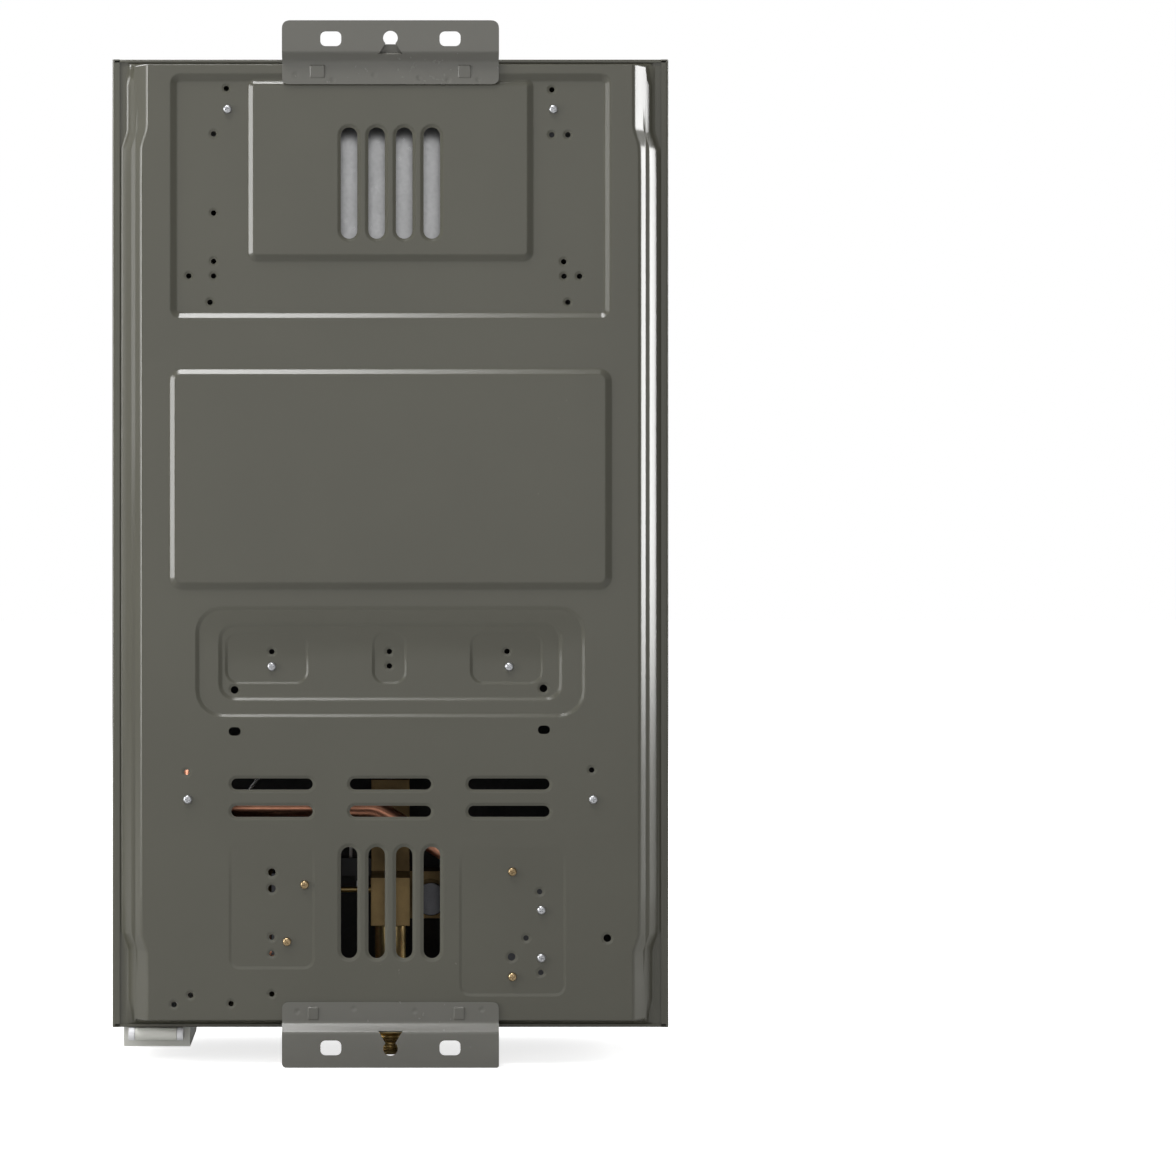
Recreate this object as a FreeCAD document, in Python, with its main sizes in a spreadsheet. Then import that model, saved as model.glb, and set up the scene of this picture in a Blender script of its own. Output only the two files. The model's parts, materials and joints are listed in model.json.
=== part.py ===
import FreeCAD, Part
import math
import os
import Sketcher

# Wall-hung gas water heater, millimetres. Heights are measured from the bottom of the casing and
# every sub-part is then lowered by hang_height, so that the origin is the centre of the slots in the
# top hanger, on the wall. The wall is the plane y = 0, the front faces -Y and +Z is up.

SIZES = {
    # casing and its sheet
    "casing_width": 368.0,
    "casing_height": 640.0,
    "casing_depth": 110.0,
    "sheet": 1.0,
    "side_lip": 5.0,
    "end_lip": 2.0,
    "front_lip": 12.0,
    "play": 0.3,
    "thin_play": 0.05,
    # louvres in the two sides
    "louvre_long": 87.0,
    "louvre_wide": 11.0,
    "louvre_pitch": 18.45,
    "louvre_front": 10.0,
    "low_louvre": 38.8,
    "high_louvre_drop": 168.1,
    # back pan
    "pan_depth": 17.0,
    "stand_off": 7.0,
    "pan_base_inset": 6.0,
    "pan_tip_inset": 20.5,
    "jog": 4.0,
    "jog_low": 57.0,
    "jog_drop": 52.0,
    "pan_base_margin": 2.5,
    "pan_tip_low": 6.4,
    "pan_tip_drop": 5.1,
    "press_depth": 2.5,
    "step_depth": 2.0,
    "flue_press_half": 144.5,
    "flue_press_foot_drop": 172.6,
    "flue_press_drop": 12.0,
    "flue_island_half": 93.6,
    "flue_island_drop": 134.5,
    "mid_press_half": 145.0,
    "mid_press_low": 290.0,
    "mid_press_drop": 205.5,
    "burner_press_half": 128.0,
    "burner_press_low": 205.7,
    "burner_press_high": 279.0,
    "burner_step_half": 113.0,
    "burner_step_low": 216.5,
    "burner_step_high": 267.8,
    # slots in the back pan
    "flue_slot_long": 73.0,
    "flue_slot_wide": 10.8,
    "flue_slot_pitch": 18.1,
    "flue_slot_drop": 83.6,
    "valve_slot_height": 84.3,
    "air_slot_long": 53.4,
    "air_slot_wide": 7.3,
    "air_slot_pitch": 77.7,
    "air_slot_height": 153.1,
    "air_slot_rows": 17.9,
    "oval_long": 7.9,
    "oval_wide": 5.6,
    "pilot_radius": 1.8,
    "screw_radius": 1.9,
    "screw_head": 3.1,
    "screw_head_rise": 2.6,
    "screw_crown": 1.9,
    "screw_reach": 5.0,
    # wall hangers
    "hang_rise": 10.0,
    "hanger_sheet": 1.5,
    "hanger_width": 142.0,
    "hanger_slot_long": 13.7,
    "hanger_slot_wide": 9.8,
    "hanger_slot_spacing": 78.0,
    "hanger_corner": 5.5,
    "keyhole_narrow": 9.6,
    "keyhole_wide": 16.0,
    "keyhole_crown": 0.5,
    "keyhole_throat": 3.0,
    "top_leg_drop": 19.0,
    "top_bend_drop": 4.0,
    "top_bend_rise": 1.0,
    "top_flange_rise": 22.0,
    "low_flange_low": -23.0,
    "low_bend_low": 0.0,
    "low_bend_high": 5.7,
    "low_leg_high": 19.3,
    "low_slot_height": -10.0,
    # front panel and what it carries
    "front_gap": 1.2,
    "front_depth": 24.5,
    "front_drop": 2.0,
    "front_corner": 4.0,
    "season_height": 142.0,
    "knob_height": 82.0,
    "knob_offset": 90.0,
    "season_radius": 18.0,
    "season_rise": 23.0,
    "knob_radius": 19.0,
    "knob_rise": 19.0,
    "collar_radius": 20.0,
    "collar_rise": 3.0,
    "bezel_radius": 27.0,
    "bezel_rise": 5.0,
    "bezel_margin": 2.0,
    "knob_gap": 0.8,
    "spindle_radius": 3.0,
    "spindle_hole": 5.0,
    "display_width": 74.0,
    "display_tall": 38.0,
    "display_height": 222.0,
    "lens_thick": 2.0,
    "sight_height": 300.0,
    "sight_radius": 22.0,
    "sight_ring_wide": 5.0,
    "ring_lap": 1.0,
    "ring_rise": 1.2,
    "glass_thick": 3.0,
    "display_rim": 3.0,
    "housing_deep": 12.0,
    "knob_edge": 2.0,
    "knob_cap": 4.0,
    "mark_wide": 2.0,
    "mark_deep": 0.8,
    "mark_start": 6.5,
    "boss_long": 12.0,
    "spindle_depth": 8.0,
    "clip_height": 532.0,
    "clip_tall": 14.0,
    "clip_outer": 14.0,
    "clip_bore": 11.0,
    "clip_mouth": 17.0,
    "clip_lip": 7.0,
    "clip_foot": 2.0,
    "clip_seat": 1.5,
    # instruction sticker on the right side
    "sticker_front": 14.5,
    "sticker_long": 76.0,
    "sticker_low": 310.0,
    "sticker_tall": 55.0,
    "sticker_thick": 0.3,
    # battery box under the right side
    "cell_radius": 16.6,
    "cell_long": 60.0,
    "tube_radius": 19.3,
    "tube_wall": 1.7,
    "tube_inset": 29.0,
    "tube_front": 42.7,
    "tube_pitch": 45.6,
    "box_high": 68.0,
    "box_roof": 2.0,
    "door_tall": 13.7,
    "door_wall": 2.0,
    "door_half_width": 22.0,
    "door_front": 25.0,
    "door_rear": 101.5,
    "door_chamfer": 6.0,
    "hinge_drop": 4.6,
    "hinge_behind": 109.5,
    "hinge_radius": 4.2,
    "hinge_pin": 1.5,
    "hinge_half": 14.0,
    "hinge_clear": 2.5,
    "lug_thick": 4.0,
    "lug_deep": 4.0,
    "box_shelf": 2.0,
    "cell_tip": 1.5,
    "cell_tip_radius": 4.8,
    "spring_turns": 5,
    "spring_radius": 7.0,
    "spring_wire": 0.6,
    # heat exchanger and hood
    "pipe_radius": 6.35,
    "pipe_wall": 0.8,
    "chamber_half": 125.0,
    "chamber_front": 118.0,
    "chamber_rear": 36.0,
    "chamber_low": 290.0,
    "chamber_drop": 190.0,
    "fin_drop": 140.0,
    "fin_count": 26,
    "fin_pitch": 9.0,
    "fin_thick": 0.6,
    "tube_count": 4,
    "foil_drop": 134.0,
    "foil_foot_drop": 189.0,
    "foil_thick": 0.8,
    "hood_foot_drop": 99.0,
    "hood_tail_drop": 133.0,
    "hood_shoulder_drop": 55.0,
    "hood_top_drop": 28.0,
    "flue_radius": 44.0,
    "hood_half": 136.0,
    "hood_flat": 46.0,
    "hood_over": 8.0,
    "hood_dip": 4.0,
    "hood_tail_half": 60.0,
    "bracket_wide": 14.0,
    "bracket_sheet": 1.2,
    "bracket_drop": 12.0,
    "foot_tall": 40.0,
    "header_wall": 14.0,
    "loop_gap": 3.5,
    "loop_start": 40.0,
    "loop_turns": 2,
    "loop_head": 10.0,
    "loop_bend": 18.0,
    "post_radius": 2.5,
    # burner
    "burner_low": 210.0,
    "burner_high": 286.0,
    "burner_half": 118.0,
    "burner_front": 96.0,
    "burner_rear": 38.0,
    "bar_count": 12,
    "bar_pitch": 18.5,
    "bar_thick": 11.0,
    "bar_lift": 14.0,
    "throat_gap": 14.0,
    "mouth_deep": 10.0,
    "rack_front": 2.0,
    "rack_rear": 3.0,
    "shelf_deep": 10.0,
    "stay_half": 8.0,
    "jet_seat": 0.6,
    "jet_reach": 4.0,
    "riser_straight": 14.0,
    "riser_lean": 34.0,
    "jet_radius": 3.0,
    "riser_radius": 6.0,
    "season_high": 160.0,
    "manifold_radius": 9.0,
    "manifold_front": 116.0,
    "manifold_height": 226.0,
    # valves
    "valve_front": 105.0,
    "valve_rear": 75.0,
    "gas_valve_low": 66.0,
    "gas_valve_high": 98.0,
    "gas_valve_left": -112.0,
    "port_half": 13.0,
    "boss_radius": 9.0,
    "rod_bore_deep": 18.0,
    "rod_entry": 12.0,
    "rod_plate": 14.0,
    "housing_wall": 8.0,
    "housing_cup": 6.0,
    "cover_wall": 3.0,
    "solenoid_radius": 11.0,
    "solenoid_long": 28.0,
    "solenoid_side": 27.0,
    "switch_half": 6.0,
    "switch_long": 20.0,
    "switch_tall": 12.0,
    "switch_ear": 1.5,
    "lever_thick": 0.8,
    "lever_drop": 1.9,
    "lever_pin": 0.6,
    "lever_knuckle": 1.3,
    "electrode_radius": 3.0,
    "needle_radius": 0.9,
    "ceramic_drop": 6.0,
    "needle_tip": 3.0,
    "water_valve_low": 62.0,
    "water_valve_high": 102.0,
    "water_valve_left": 62.0,
    "water_valve_right": 110.0,
    "housing_radius": 31.0,
    "housing_left": 50.0,
    "diaphragm_thick": 2.0,
    "cover_left": 38.0,
    "rod_height": 84.0,
    "rod_radius": 2.0,
    "rod_collar": 5.0,
    "rod_collar_place": 20.0,
    "rod_collar_thick": 2.0,
    "rod_plate_thick": 1.5,
    "switch_low": 94.0,
    "fitting_offset": 57.0,
    "fitting_back": 45.0,
    "fitting_radius": 10.5,
    "fitting_bore": 6.6,
    "fitting_drop": 20.0,
    "fitting_rise": 18.0,
    "nut_radius": 14.0,
    "nut_tall": 6.0,
    "pipe_entry": 12.0,
    "cold_turn": 38.0,
    "cold_side": 82.0,
    "lift_start": 86.0,
    "hot_clear": 15.5,
    "hot_start": -100.0,
    "hot_bend_side": 10.0,
    "hot_step": 25.0,
    "hot_lean": 48.0,
    "hot_turn": 80.0,
    "hot_fall": 42.0,
    "hot_bottom": 90.0,
    "drain_reach": 1.8,
    "plug_tall": 8.5,
    "hot_back": 37.0,
    "hot_height": 144.0,
    "riser_back": 85.0,
    "drain_side": 68.0,
    "drain_back": 96.0,
    "drain_radius": 5.5,
    "drain_bore": 3.2,
    "lead_radius": 1.1,
    "lead_bend": 8.0,
    "lead_coil": 16.0,
    "lead_switch": 14.0,
    "lead_cell": 8.0,
    "lead_cell_back": 68.0,
    "lead_spark": 270.0,
    "tray_back": 26.5,
    "tray_thick": 3.5,
    "tray_low": 72.0,
    "mast_half": 7.0,
    "tray_edge": 4.0,
    "peg_radius": 2.0,
    "board_inset": 66.0,
    "board_long": 50.0,
    "board_gap": 2.0,
    "board_thick": 1.6,
    "can_radius": 5.0,
    "can_long": 12.0,
    "can_side": 8.0,
    "can_step": 12.0,
    "can_high": 98.0,
    "can_low": 84.0,
    "coil_side": 6.0,
    "coil_long": 18.0,
    "coil_deep": 14.0,
    "coil_lift": 14.0,
    "coil_tall": 20.0,
    "joint_rise": 6.0,
    "gas_bracket_far": 108.0,
    "gas_bracket_near": 72.0,
    "gas_plate_low": 28.0,
    "gas_plate_high": 112.0,
    "water_plate_left": 48.0,
    "water_plate_right": 78.0,
    "water_plate_low": 50.0,
    "web_inset": 4.0,
    "board_low": 76.0,
    "board_high": 122.0,
}

# Part of the sheet's thickness by which the inside of a 45-degree bend falls short.
BEND_SHARE = 0.4

# Bars between the middle of the burner and each electrode.
ELECTRODE_BARS = 1.5

HOOD_SCREW_SIDE = 107.0
HOOD_SCREW_DROP = 35.0
RACK_SCREW_HEIGHT = 239.0
RACK_SCREW_SIDE = 78.0

# Places of the screws and of the empty holes in the back pan, seen along x and up from the bottom.
SILVER_SCREWS = [(RACK_SCREW_SIDE, RACK_SCREW_HEIGHT), (-RACK_SCREW_SIDE, RACK_SCREW_HEIGHT),
                 (133.0, 152.0), (-133.0, 152.0), (-99.0, 79.4), (-99.0, 48.0)]

BRASS_SCREWS = [(56.3, 96.0), (67.9, 58.6), (-80.0, 104.5), (-80.0, 35.6)]
PILOT_HOLES = [(78.0, 248.8), (0.7, 248.9), (0.7, 239.4), (-76.6, 249.0), (102.4, 223.7),
               (-100.5, 224.7), (133.7, 169.8), (-132.0, 171.3), (77.8, 104.1), (77.8, 93.4),
               (77.8, 61.6), (77.8, 50.8), (104.6, 18.0), (77.8, 24.3), (-97.9, 91.4), (-89.0, 61.0),
               (-79.5, 48.6), (-98.7, 38.3), (-142.3, 61.0), (131.1, 23.5), (142.0, 17.4)]
# These count down from the top of the casing.
HIGH_HOLES = [(107.8, 21.2), (-106.0, 22.0), (116.2, 51.1), (-106.0, 51.7), (-116.5, 51.7),
              (116.2, 103.0), (116.2, 134.8), (-113.8, 135.0), (132.5, 144.4), (116.2, 144.4),
              (-114.0, 144.6), (-124.2, 144.6), (118.5, 161.7), (-116.5, 161.7)]
WALL_OVALS = [(102.2, 196.6), (-100.7, 197.7)]

# Turning points of the three leads between their soldered ends.
SPARK_ROUTE = [(130, -68, 126), (108, -106, 136), (88, -128, 162), (62, -132, 196), (40, -132, 236),
               (31, -122, 262)]
SWITCH_ROUTE = [(60, -66, 130), (98, -56, 126), (116, -50, 118)]
CELL_ROUTE = [(141, -56, 81)]

doc = FreeCAD.newDocument("WaterHeater")
sheet = doc.addObject("Spreadsheet::Sheet", "Sizes")
for row, (alias, number) in enumerate(SIZES.items(), 1):
    sheet.set(f"A{row}", alias)
    sheet.set(f"B{row}", str(number))
    sheet.setAlias(f"B{row}", alias)
doc.recompute()


class Size:
    """A length that knows both its number and the expression that gives it."""

    def __init__(self, number, text=None):
        self.number = float(number)
        self.text = text or repr(float(number))

    def __add__(self, other):
        return joined(self, "+", other)

    def __radd__(self, other):
        return joined(other, "+", self)

    def __sub__(self, other):
        return joined(self, "-", other)

    def __rsub__(self, other):
        return joined(other, "-", self)

    def __mul__(self, other):
        return joined(self, "*", other)

    def __rmul__(self, other):
        return joined(other, "*", self)

    def __truediv__(self, other):
        return joined(self, "/", other)

    def __neg__(self):
        return joined(0, "-", self)

    def __float__(self):
        return self.number


def as_size(amount):
    """The amount itself, or a bare number made into a Size."""
    return amount if isinstance(amount, Size) else Size(amount)


def joined(left, sign, right):
    """Two amounts put together by one of the four signs."""
    first, second = as_size(left), as_size(right)
    if sign == "+":
        number = first.number + second.number
    elif sign == "-":
        number = first.number - second.number
    elif sign == "*":
        number = first.number * second.number
    else:
        number = first.number / second.number
    return Size(number, f"({first.text} {sign} {second.text})")


class Sheet:
    """Reads a driving size of the spreadsheet by its alias."""

    def __getattr__(self, alias):
        return Size(SIZES[alias], f"Sizes.{alias}")


size = Sheet()

# Planes that many sub-parts share.
wall_plane = as_size(0)
pan_plane = -size.stand_off
rear_plane = pan_plane - size.pan_depth
front_plane = rear_plane - size.casing_depth
door_plane = front_plane - size.front_gap
face_plane = door_plane - size.front_depth
panel_back = face_plane + size.sheet
half_width = size.casing_width / 2
inner_half = half_width - size.sheet
inner_pan = pan_plane - size.sheet
flange_rear = rear_plane - size.sheet
flange_front = flange_rear - size.sheet
top_under = size.casing_height - size.sheet
hang_height = size.casing_height + size.hang_rise
chamber_top = size.casing_height - size.chamber_drop
fin_top = size.casing_height - size.fin_drop
hood_top = size.casing_height - size.hood_top_drop
hood_bend = size.casing_height - size.hood_shoulder_drop
pan_base = half_width - size.pan_base_inset
pan_tip = half_width - size.pan_tip_inset
tube_x = half_width - size.tube_inset


def behind(depth):
    """The plane that lies this far behind the front edge of the casing."""
    return front_plane + depth


def below(drop):
    """The height that lies this far under the top of the casing."""
    return size.casing_height - drop


def above(rise):
    """The height that lies this far over the top of the casing."""
    return size.casing_height + rise


def drive(item, place, amount):
    """Bind one number of an object to the spreadsheet."""
    item.setExpression(place, as_size(amount).text)


TURN = {
    "x": FreeCAD.Rotation(FreeCAD.Vector(0, 1, 0), 90),
    "y": FreeCAD.Rotation(FreeCAD.Vector(1, 0, 0), -90),
    "z": FreeCAD.Rotation(),
}
own_height = {}


def settle(item, axis, span, centre):
    """Turn a round primitive to its axis and put its first end in place."""
    item.Placement = FreeCAD.Placement(FreeCAD.Vector(), TURN[axis])
    places = list(centre)
    places.insert("xyz".index(axis), span[0])
    for letter, amount in zip("xyz", places):
        drive(item, f"Placement.Base.{letter}", amount)
    drive(item, "Height", as_size(span[1]) - span[0])
    own_height[item.Name] = places[2]
    return item


def box(name, x, y, z):
    """Block between two planes across each axis."""
    item = doc.addObject("Part::Box", name)
    for side, span, letter in (("Length", x, "x"), ("Width", y, "y"), ("Height", z, "z")):
        drive(item, side, as_size(span[1]) - span[0])
        drive(item, f"Placement.Base.{letter}", span[0])
    own_height[item.Name] = z[0]
    return item


def rod(name, axis, radius, span, centre):
    """Cylinder along an axis, between two planes, at a centre given by the other two coordinates."""
    item = doc.addObject("Part::Cylinder", name)
    drive(item, "Radius", radius)
    return settle(item, axis, span, centre)


def cone(name, axis, radius, tip, span, centre):
    """Cone along an axis, from its first radius to its tip radius."""
    item = doc.addObject("Part::Cone", name)
    drive(item, "Radius1", radius)
    drive(item, "Radius2", tip)
    return settle(item, axis, span, centre)


def hexagon(name, axis, radius, span, centre):
    """Six-sided bar along an axis."""
    item = doc.addObject("Part::Prism", name)
    item.Polygon = 6
    drive(item, "Circumradius", radius)
    return settle(item, axis, span, centre)


def taper(name, y, base_x, base_z, tip_x, tip_z):
    """Block that narrows from its base plane to its tip plane, both across y."""
    item = doc.addObject("Part::Wedge", name)
    numbers = {"Ymin": y[0], "Ymax": y[1], "Xmin": base_x[0], "Xmax": base_x[1],
               "Zmin": base_z[0], "Zmax": base_z[1], "X2min": tip_x[0], "X2max": tip_x[1],
               "Z2min": tip_z[0], "Z2max": tip_z[1]}
    # Whole numbers first, so that the block is never inside out while its sizes arrive.
    for place, amount in numbers.items():
        setattr(item, place, as_size(amount).number)
    for place, amount in numbers.items():
        drive(item, place, amount)
    own_height[item.Name] = as_size(0)
    return item


def fuse(name, *items):
    """One solid made of several."""
    item = doc.addObject("Part::MultiFuse", name)
    item.Shapes = list(items)
    item.Refine = True
    return item


def group(name, *items):
    """Separate solids kept together."""
    item = doc.addObject("Part::Compound", name)
    item.Links = list(items)
    return item


def cut(name, base, *tools):
    """The base without its tools."""
    item = doc.addObject("Part::Cut", name)
    item.Base = base
    item.Tool = tools[0] if len(tools) == 1 else group(name + "_tools", *tools)
    item.Refine = True
    return item


def slot(name, x, z, long, wide, upright, y):
    """Tool for a slot with round ends, through y."""
    reach = (long - wide) / 2
    if upright:
        middle = box(name + "_middle", (x - wide / 2, x + wide / 2), y, (z - reach, z + reach))
        ends = [rod(name + "_low", "y", wide / 2, y, (x, z - reach)),
                rod(name + "_high", "y", wide / 2, y, (x, z + reach))]
    else:
        middle = box(name + "_middle", (x - reach, x + reach), y, (z - wide / 2, z + wide / 2))
        ends = [rod(name + "_left", "y", wide / 2, y, (x - reach, z)),
                rod(name + "_right", "y", wide / 2, y, (x + reach, z))]
    return fuse(name, middle, *ends)


def solid_of(name, shape):
    """Object that holds a shape made by Part's own functions."""
    item = doc.addObject("Part::Feature", name)
    item.Shape = shape
    return item


def point(x, y, z):
    """Vector from three amounts."""
    return FreeCAD.Vector(float(x), float(y), float(z))


def routed(corners, bend):
    """Wire of straight runs joined by tangent arcs no larger than the bend or the runs allow."""
    edges = []
    start = corners[0]
    for before, corner, after in zip(corners, corners[1:], corners[2:]):
        back, ahead = before - corner, after - corner
        run = min(back.Length, ahead.Length)
        turn = math.pi - back.getAngle(ahead)
        radius = min(float(bend), 0.45 * run / math.tan(turn / 2))
        cutback = radius * math.tan(turn / 2)
        enter = corner + FreeCAD.Vector(back).normalize() * cutback
        leave = corner + FreeCAD.Vector(ahead).normalize() * cutback
        inward = (FreeCAD.Vector(back).normalize() + FreeCAD.Vector(ahead).normalize()).normalize()
        middle = corner + inward * (radius / math.cos(turn / 2) - radius)
        edges.append(Part.LineSegment(start, enter).toShape())
        edges.append(Part.Arc(enter, middle, leave).toShape())
        start = leave
    edges.append(Part.LineSegment(start, corners[-1]).toShape())
    return Part.Wire(edges)


def piped(corners, radius, bend):
    """Round bar swept along a route."""
    wire = routed(corners, bend)
    ring = Part.Wire(Part.makeCircle(float(radius), corners[0], corners[1] - corners[0]))
    return wire.makePipeShell([ring], True, True)


def tube(name, corners, radius, wall, bend):
    """Pipe with a bore, swept along a route."""
    return solid_of(name, piped(corners, radius, bend).cut(piped(corners, radius - wall, bend)))


ORIGIN = -1
CENTRE = 3


def sketch_on(body, name, role, offset=0):
    """Sketch on one of a body's own planes, moved along its normal."""
    sketch = body.newObject("Sketcher::SketchObject", name)
    plane = next(item for item in body.Origin.OriginFeatures if item.Role == role)
    sketch.AttachmentSupport = [(plane, "")]
    sketch.MapMode = "FlatFace"
    drive(sketch, "AttachmentOffset.Base.z", offset)
    return sketch


def pin(sketch, item, end, x, y):
    """Fix one point of a sketch line at its two distances from the sketch's origin."""
    for kind, amount in (("DistanceX", x), ("DistanceY", y)):
        number = as_size(amount).number
        index = sketch.addConstraint(Sketcher.Constraint(kind, ORIGIN, 1, item, end, number))
        drive(sketch, f"Constraints[{index}]", amount)


def outline(sketch, corners):
    """Closed outline of straight lines through its corners."""
    spots = [FreeCAD.Vector(float(x), float(y), 0) for x, y in corners]
    first = sketch.GeometryCount
    count = len(spots)
    for index, spot in enumerate(spots):
        sketch.addGeometry(Part.LineSegment(spot, spots[(index + 1) % count]), False)
    for index in range(count):
        after = first + (index + 1) % count
        sketch.addConstraint(Sketcher.Constraint("Coincident", first + index, 2, after, 1))
    for index, (x, y) in enumerate(corners):
        pin(sketch, first + index, 1, x, y)


def circle(sketch, x, y, radius):
    """Circle in a sketch."""
    centre = FreeCAD.Vector(float(x), float(y), 0)
    ring = Part.Circle(centre, FreeCAD.Vector(0, 0, 1), float(radius))
    item = sketch.addGeometry(ring, False)
    number = as_size(radius).number
    index = sketch.addConstraint(Sketcher.Constraint("Radius", item, number))
    drive(sketch, f"Constraints[{index}]", radius)
    pin(sketch, item, CENTRE, x, y)


def racetrack(sketch, x, y, long, wide):
    """Slot outline with round ends, lying along the sketch's first axis."""
    reach = (long - wide) / 2
    radius = wide / 2
    normal = FreeCAD.Vector(0, 0, 1)
    left = FreeCAD.Vector(float(x - reach), float(y), 0)
    right = FreeCAD.Vector(float(x + reach), float(y), 0)
    up = FreeCAD.Vector(0, float(radius), 0)
    quarter = math.pi / 2
    ring = Part.Circle(left, normal, float(radius))
    first = sketch.addGeometry(Part.ArcOfCircle(ring, quarter, 3 * quarter), False)
    sketch.addGeometry(Part.LineSegment(left - up, right - up), False)
    ring = Part.Circle(right, normal, float(radius))
    sketch.addGeometry(Part.ArcOfCircle(ring, -quarter, quarter), False)
    sketch.addGeometry(Part.LineSegment(right + up, left + up), False)
    for index in range(4):
        after = first + (index + 1) % 4
        sketch.addConstraint(Sketcher.Constraint("Tangent", first + index, 2, after, 1))
    index = sketch.addConstraint(Sketcher.Constraint("Radius", first, as_size(radius).number))
    drive(sketch, f"Constraints[{index}]", radius)
    pin(sketch, first, CENTRE, x - reach, y)
    pin(sketch, first + 2, CENTRE, x + reach, y)


def new_body(name):
    """Empty body for sketches and features."""
    return doc.addObject("PartDesign::Body", name)


def pad(body, name, sketch, length, both=False, reverse=False):
    """Solid of a sketch, on one side of its plane or on both."""
    item = body.newObject("PartDesign::Pad", name)
    item.Profile = sketch
    item.SideType = "Symmetric" if both else "One side"
    item.Reversed = reverse
    drive(item, "Length", length)
    return item


def pocket(body, name, sketch, length, both=False, reverse=False):
    """Hole of a sketch; it has to take something away."""
    doc.recompute()
    before = body.Shape.Volume
    item = body.newObject("PartDesign::Pocket", name)
    item.Profile = sketch
    item.SideType = "Symmetric" if both else "One side"
    item.Reversed = reverse
    drive(item, "Length", length)
    doc.recompute()
    if body.Shape.Volume >= before:
        raise RuntimeError(f"{name} cuts nothing")
    return item


def revolve(body, name, sketch):
    """Full turn of a sketch about its own upright axis."""
    item = body.newObject("PartDesign::Revolution", name)
    item.Profile = sketch
    item.ReferenceAxis = (sketch, ["V_Axis"])
    item.Angle = 360
    return item


def fillet(body, name, edges, radius):
    """Rounding of some edges of what the body has become so far."""
    so_far = body.Tip
    item = body.newObject("PartDesign::Fillet", name)
    item.Base = (so_far, edges)
    drive(item, "Radius", radius)
    return item


def repeat(body, name, feature, sketch, axis, pitch, count):
    """Row of copies of a feature along one axis of a sketch."""
    item = body.newObject("PartDesign::LinearPattern", name)
    item.Originals = [feature]
    item.Direction = (sketch, [axis])
    item.Mode = "Spacing"
    drive(item, "Offset", pitch)
    item.Occurrences = count
    body.Tip = item
    return item


def place(body, x, y, z):
    """Put a body's own origin somewhere in the heater."""
    for letter, amount in (("x", x), ("y", y), ("z", z)):
        drive(body, f"Placement.Base.{letter}", amount)
    own_height[body.Name] = as_size(z)
    return body


sub_parts = []


def sub_part(label, item):
    """Name a finished sub-part and lower it to the frame's origin."""
    item.Label = label
    if item.TypeId == "Part::Feature":
        item.Placement = FreeCAD.Placement(point(0, 0, -hang_height), FreeCAD.Rotation())
    drive(item, "Placement.Base.z", own_height.get(item.Name, as_size(0)) - hang_height)
    sub_parts.append(item)


# ---------------------------------------------------------------- casing

def casing_side(label, sign):
    """Side sheet with its rear and front lips and two banks of eight louvres."""
    body = new_body(label + "_body")
    profile = sketch_on(body, label + "_profile", "XY_Plane")
    outer = sign * half_width
    skin = sign * (half_width - size.sheet)
    rear_tip = sign * (half_width - size.side_lip)
    front_tip = sign * (half_width - size.front_lip)
    outline(profile, [(outer, rear_plane), (outer, front_plane), (front_tip, front_plane),
                      (front_tip, front_plane + size.sheet), (skin, front_plane + size.sheet),
                      (skin, flange_rear), (rear_tip, flange_rear), (rear_tip, rear_plane)])
    pad(body, label + "_wall", profile, size.casing_height)
    middle = behind(size.louvre_front + size.louvre_long / 2)
    for bank, low in (("low", size.low_louvre), ("high", below(size.high_louvre_drop))):
        louvre = sketch_on(body, f"{label}_{bank}_louvre", "YZ_Plane")
        racetrack(louvre, middle, low, size.louvre_long, size.louvre_wide)
        hole = pocket(body, f"{label}_{bank}_hole", louvre, size.casing_width * 2, both=True)
        repeat(body, f"{label}_{bank}_bank", hole, louvre, "V_Axis", size.louvre_pitch, 8)
    notches = []
    for lip, across, depth, tall in (
            ("rear", (rear_tip, skin), (flange_rear, rear_plane), size.end_lip),
            ("front", (front_tip, skin), (front_plane, front_plane + size.sheet), size.front_lip)):
        span = across if sign > 0 else across[::-1]
        notches.append(box(f"{label}_{lip}_low", span, depth, (as_size(0), tall)))
        notches.append(box(f"{label}_{lip}_high", span, depth,
                           (size.casing_height - tall, size.casing_height)))
    sub_part(label, cut(label + "_cut", body, *notches))


def casing_end(label, outside, inside, lip):
    """Top or bottom sheet between the sides, with a small lip at the rear and one at the front."""
    body = new_body(label + "_body")
    profile = sketch_on(body, label + "_profile", "YZ_Plane")
    outline(profile, [(rear_plane, outside), (rear_plane, lip[0]), (flange_rear, lip[0]),
                      (flange_rear, inside), (front_plane + size.sheet, inside),
                      (front_plane + size.sheet, lip[1]), (front_plane, lip[1]),
                      (front_plane, outside)])
    pad(body, label + "_wall", profile, size.casing_width - 2 * size.sheet, both=True)
    return body


casing_side("casing_right", 1)
casing_side("casing_left", -1)

top = casing_end("casing_top", size.casing_height, top_under,
                 (size.casing_height - size.end_lip, size.casing_height - size.front_lip))
flue_middle = -(size.chamber_front + size.chamber_rear) / 2
flue_hole = sketch_on(top, "flue_hole", "XY_Plane")
circle(flue_hole, 0, flue_middle, size.flue_radius)
pocket(top, "flue_opening", flue_hole, size.casing_height + size.sheet, reverse=True)
sub_part("casing_top", top)

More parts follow.
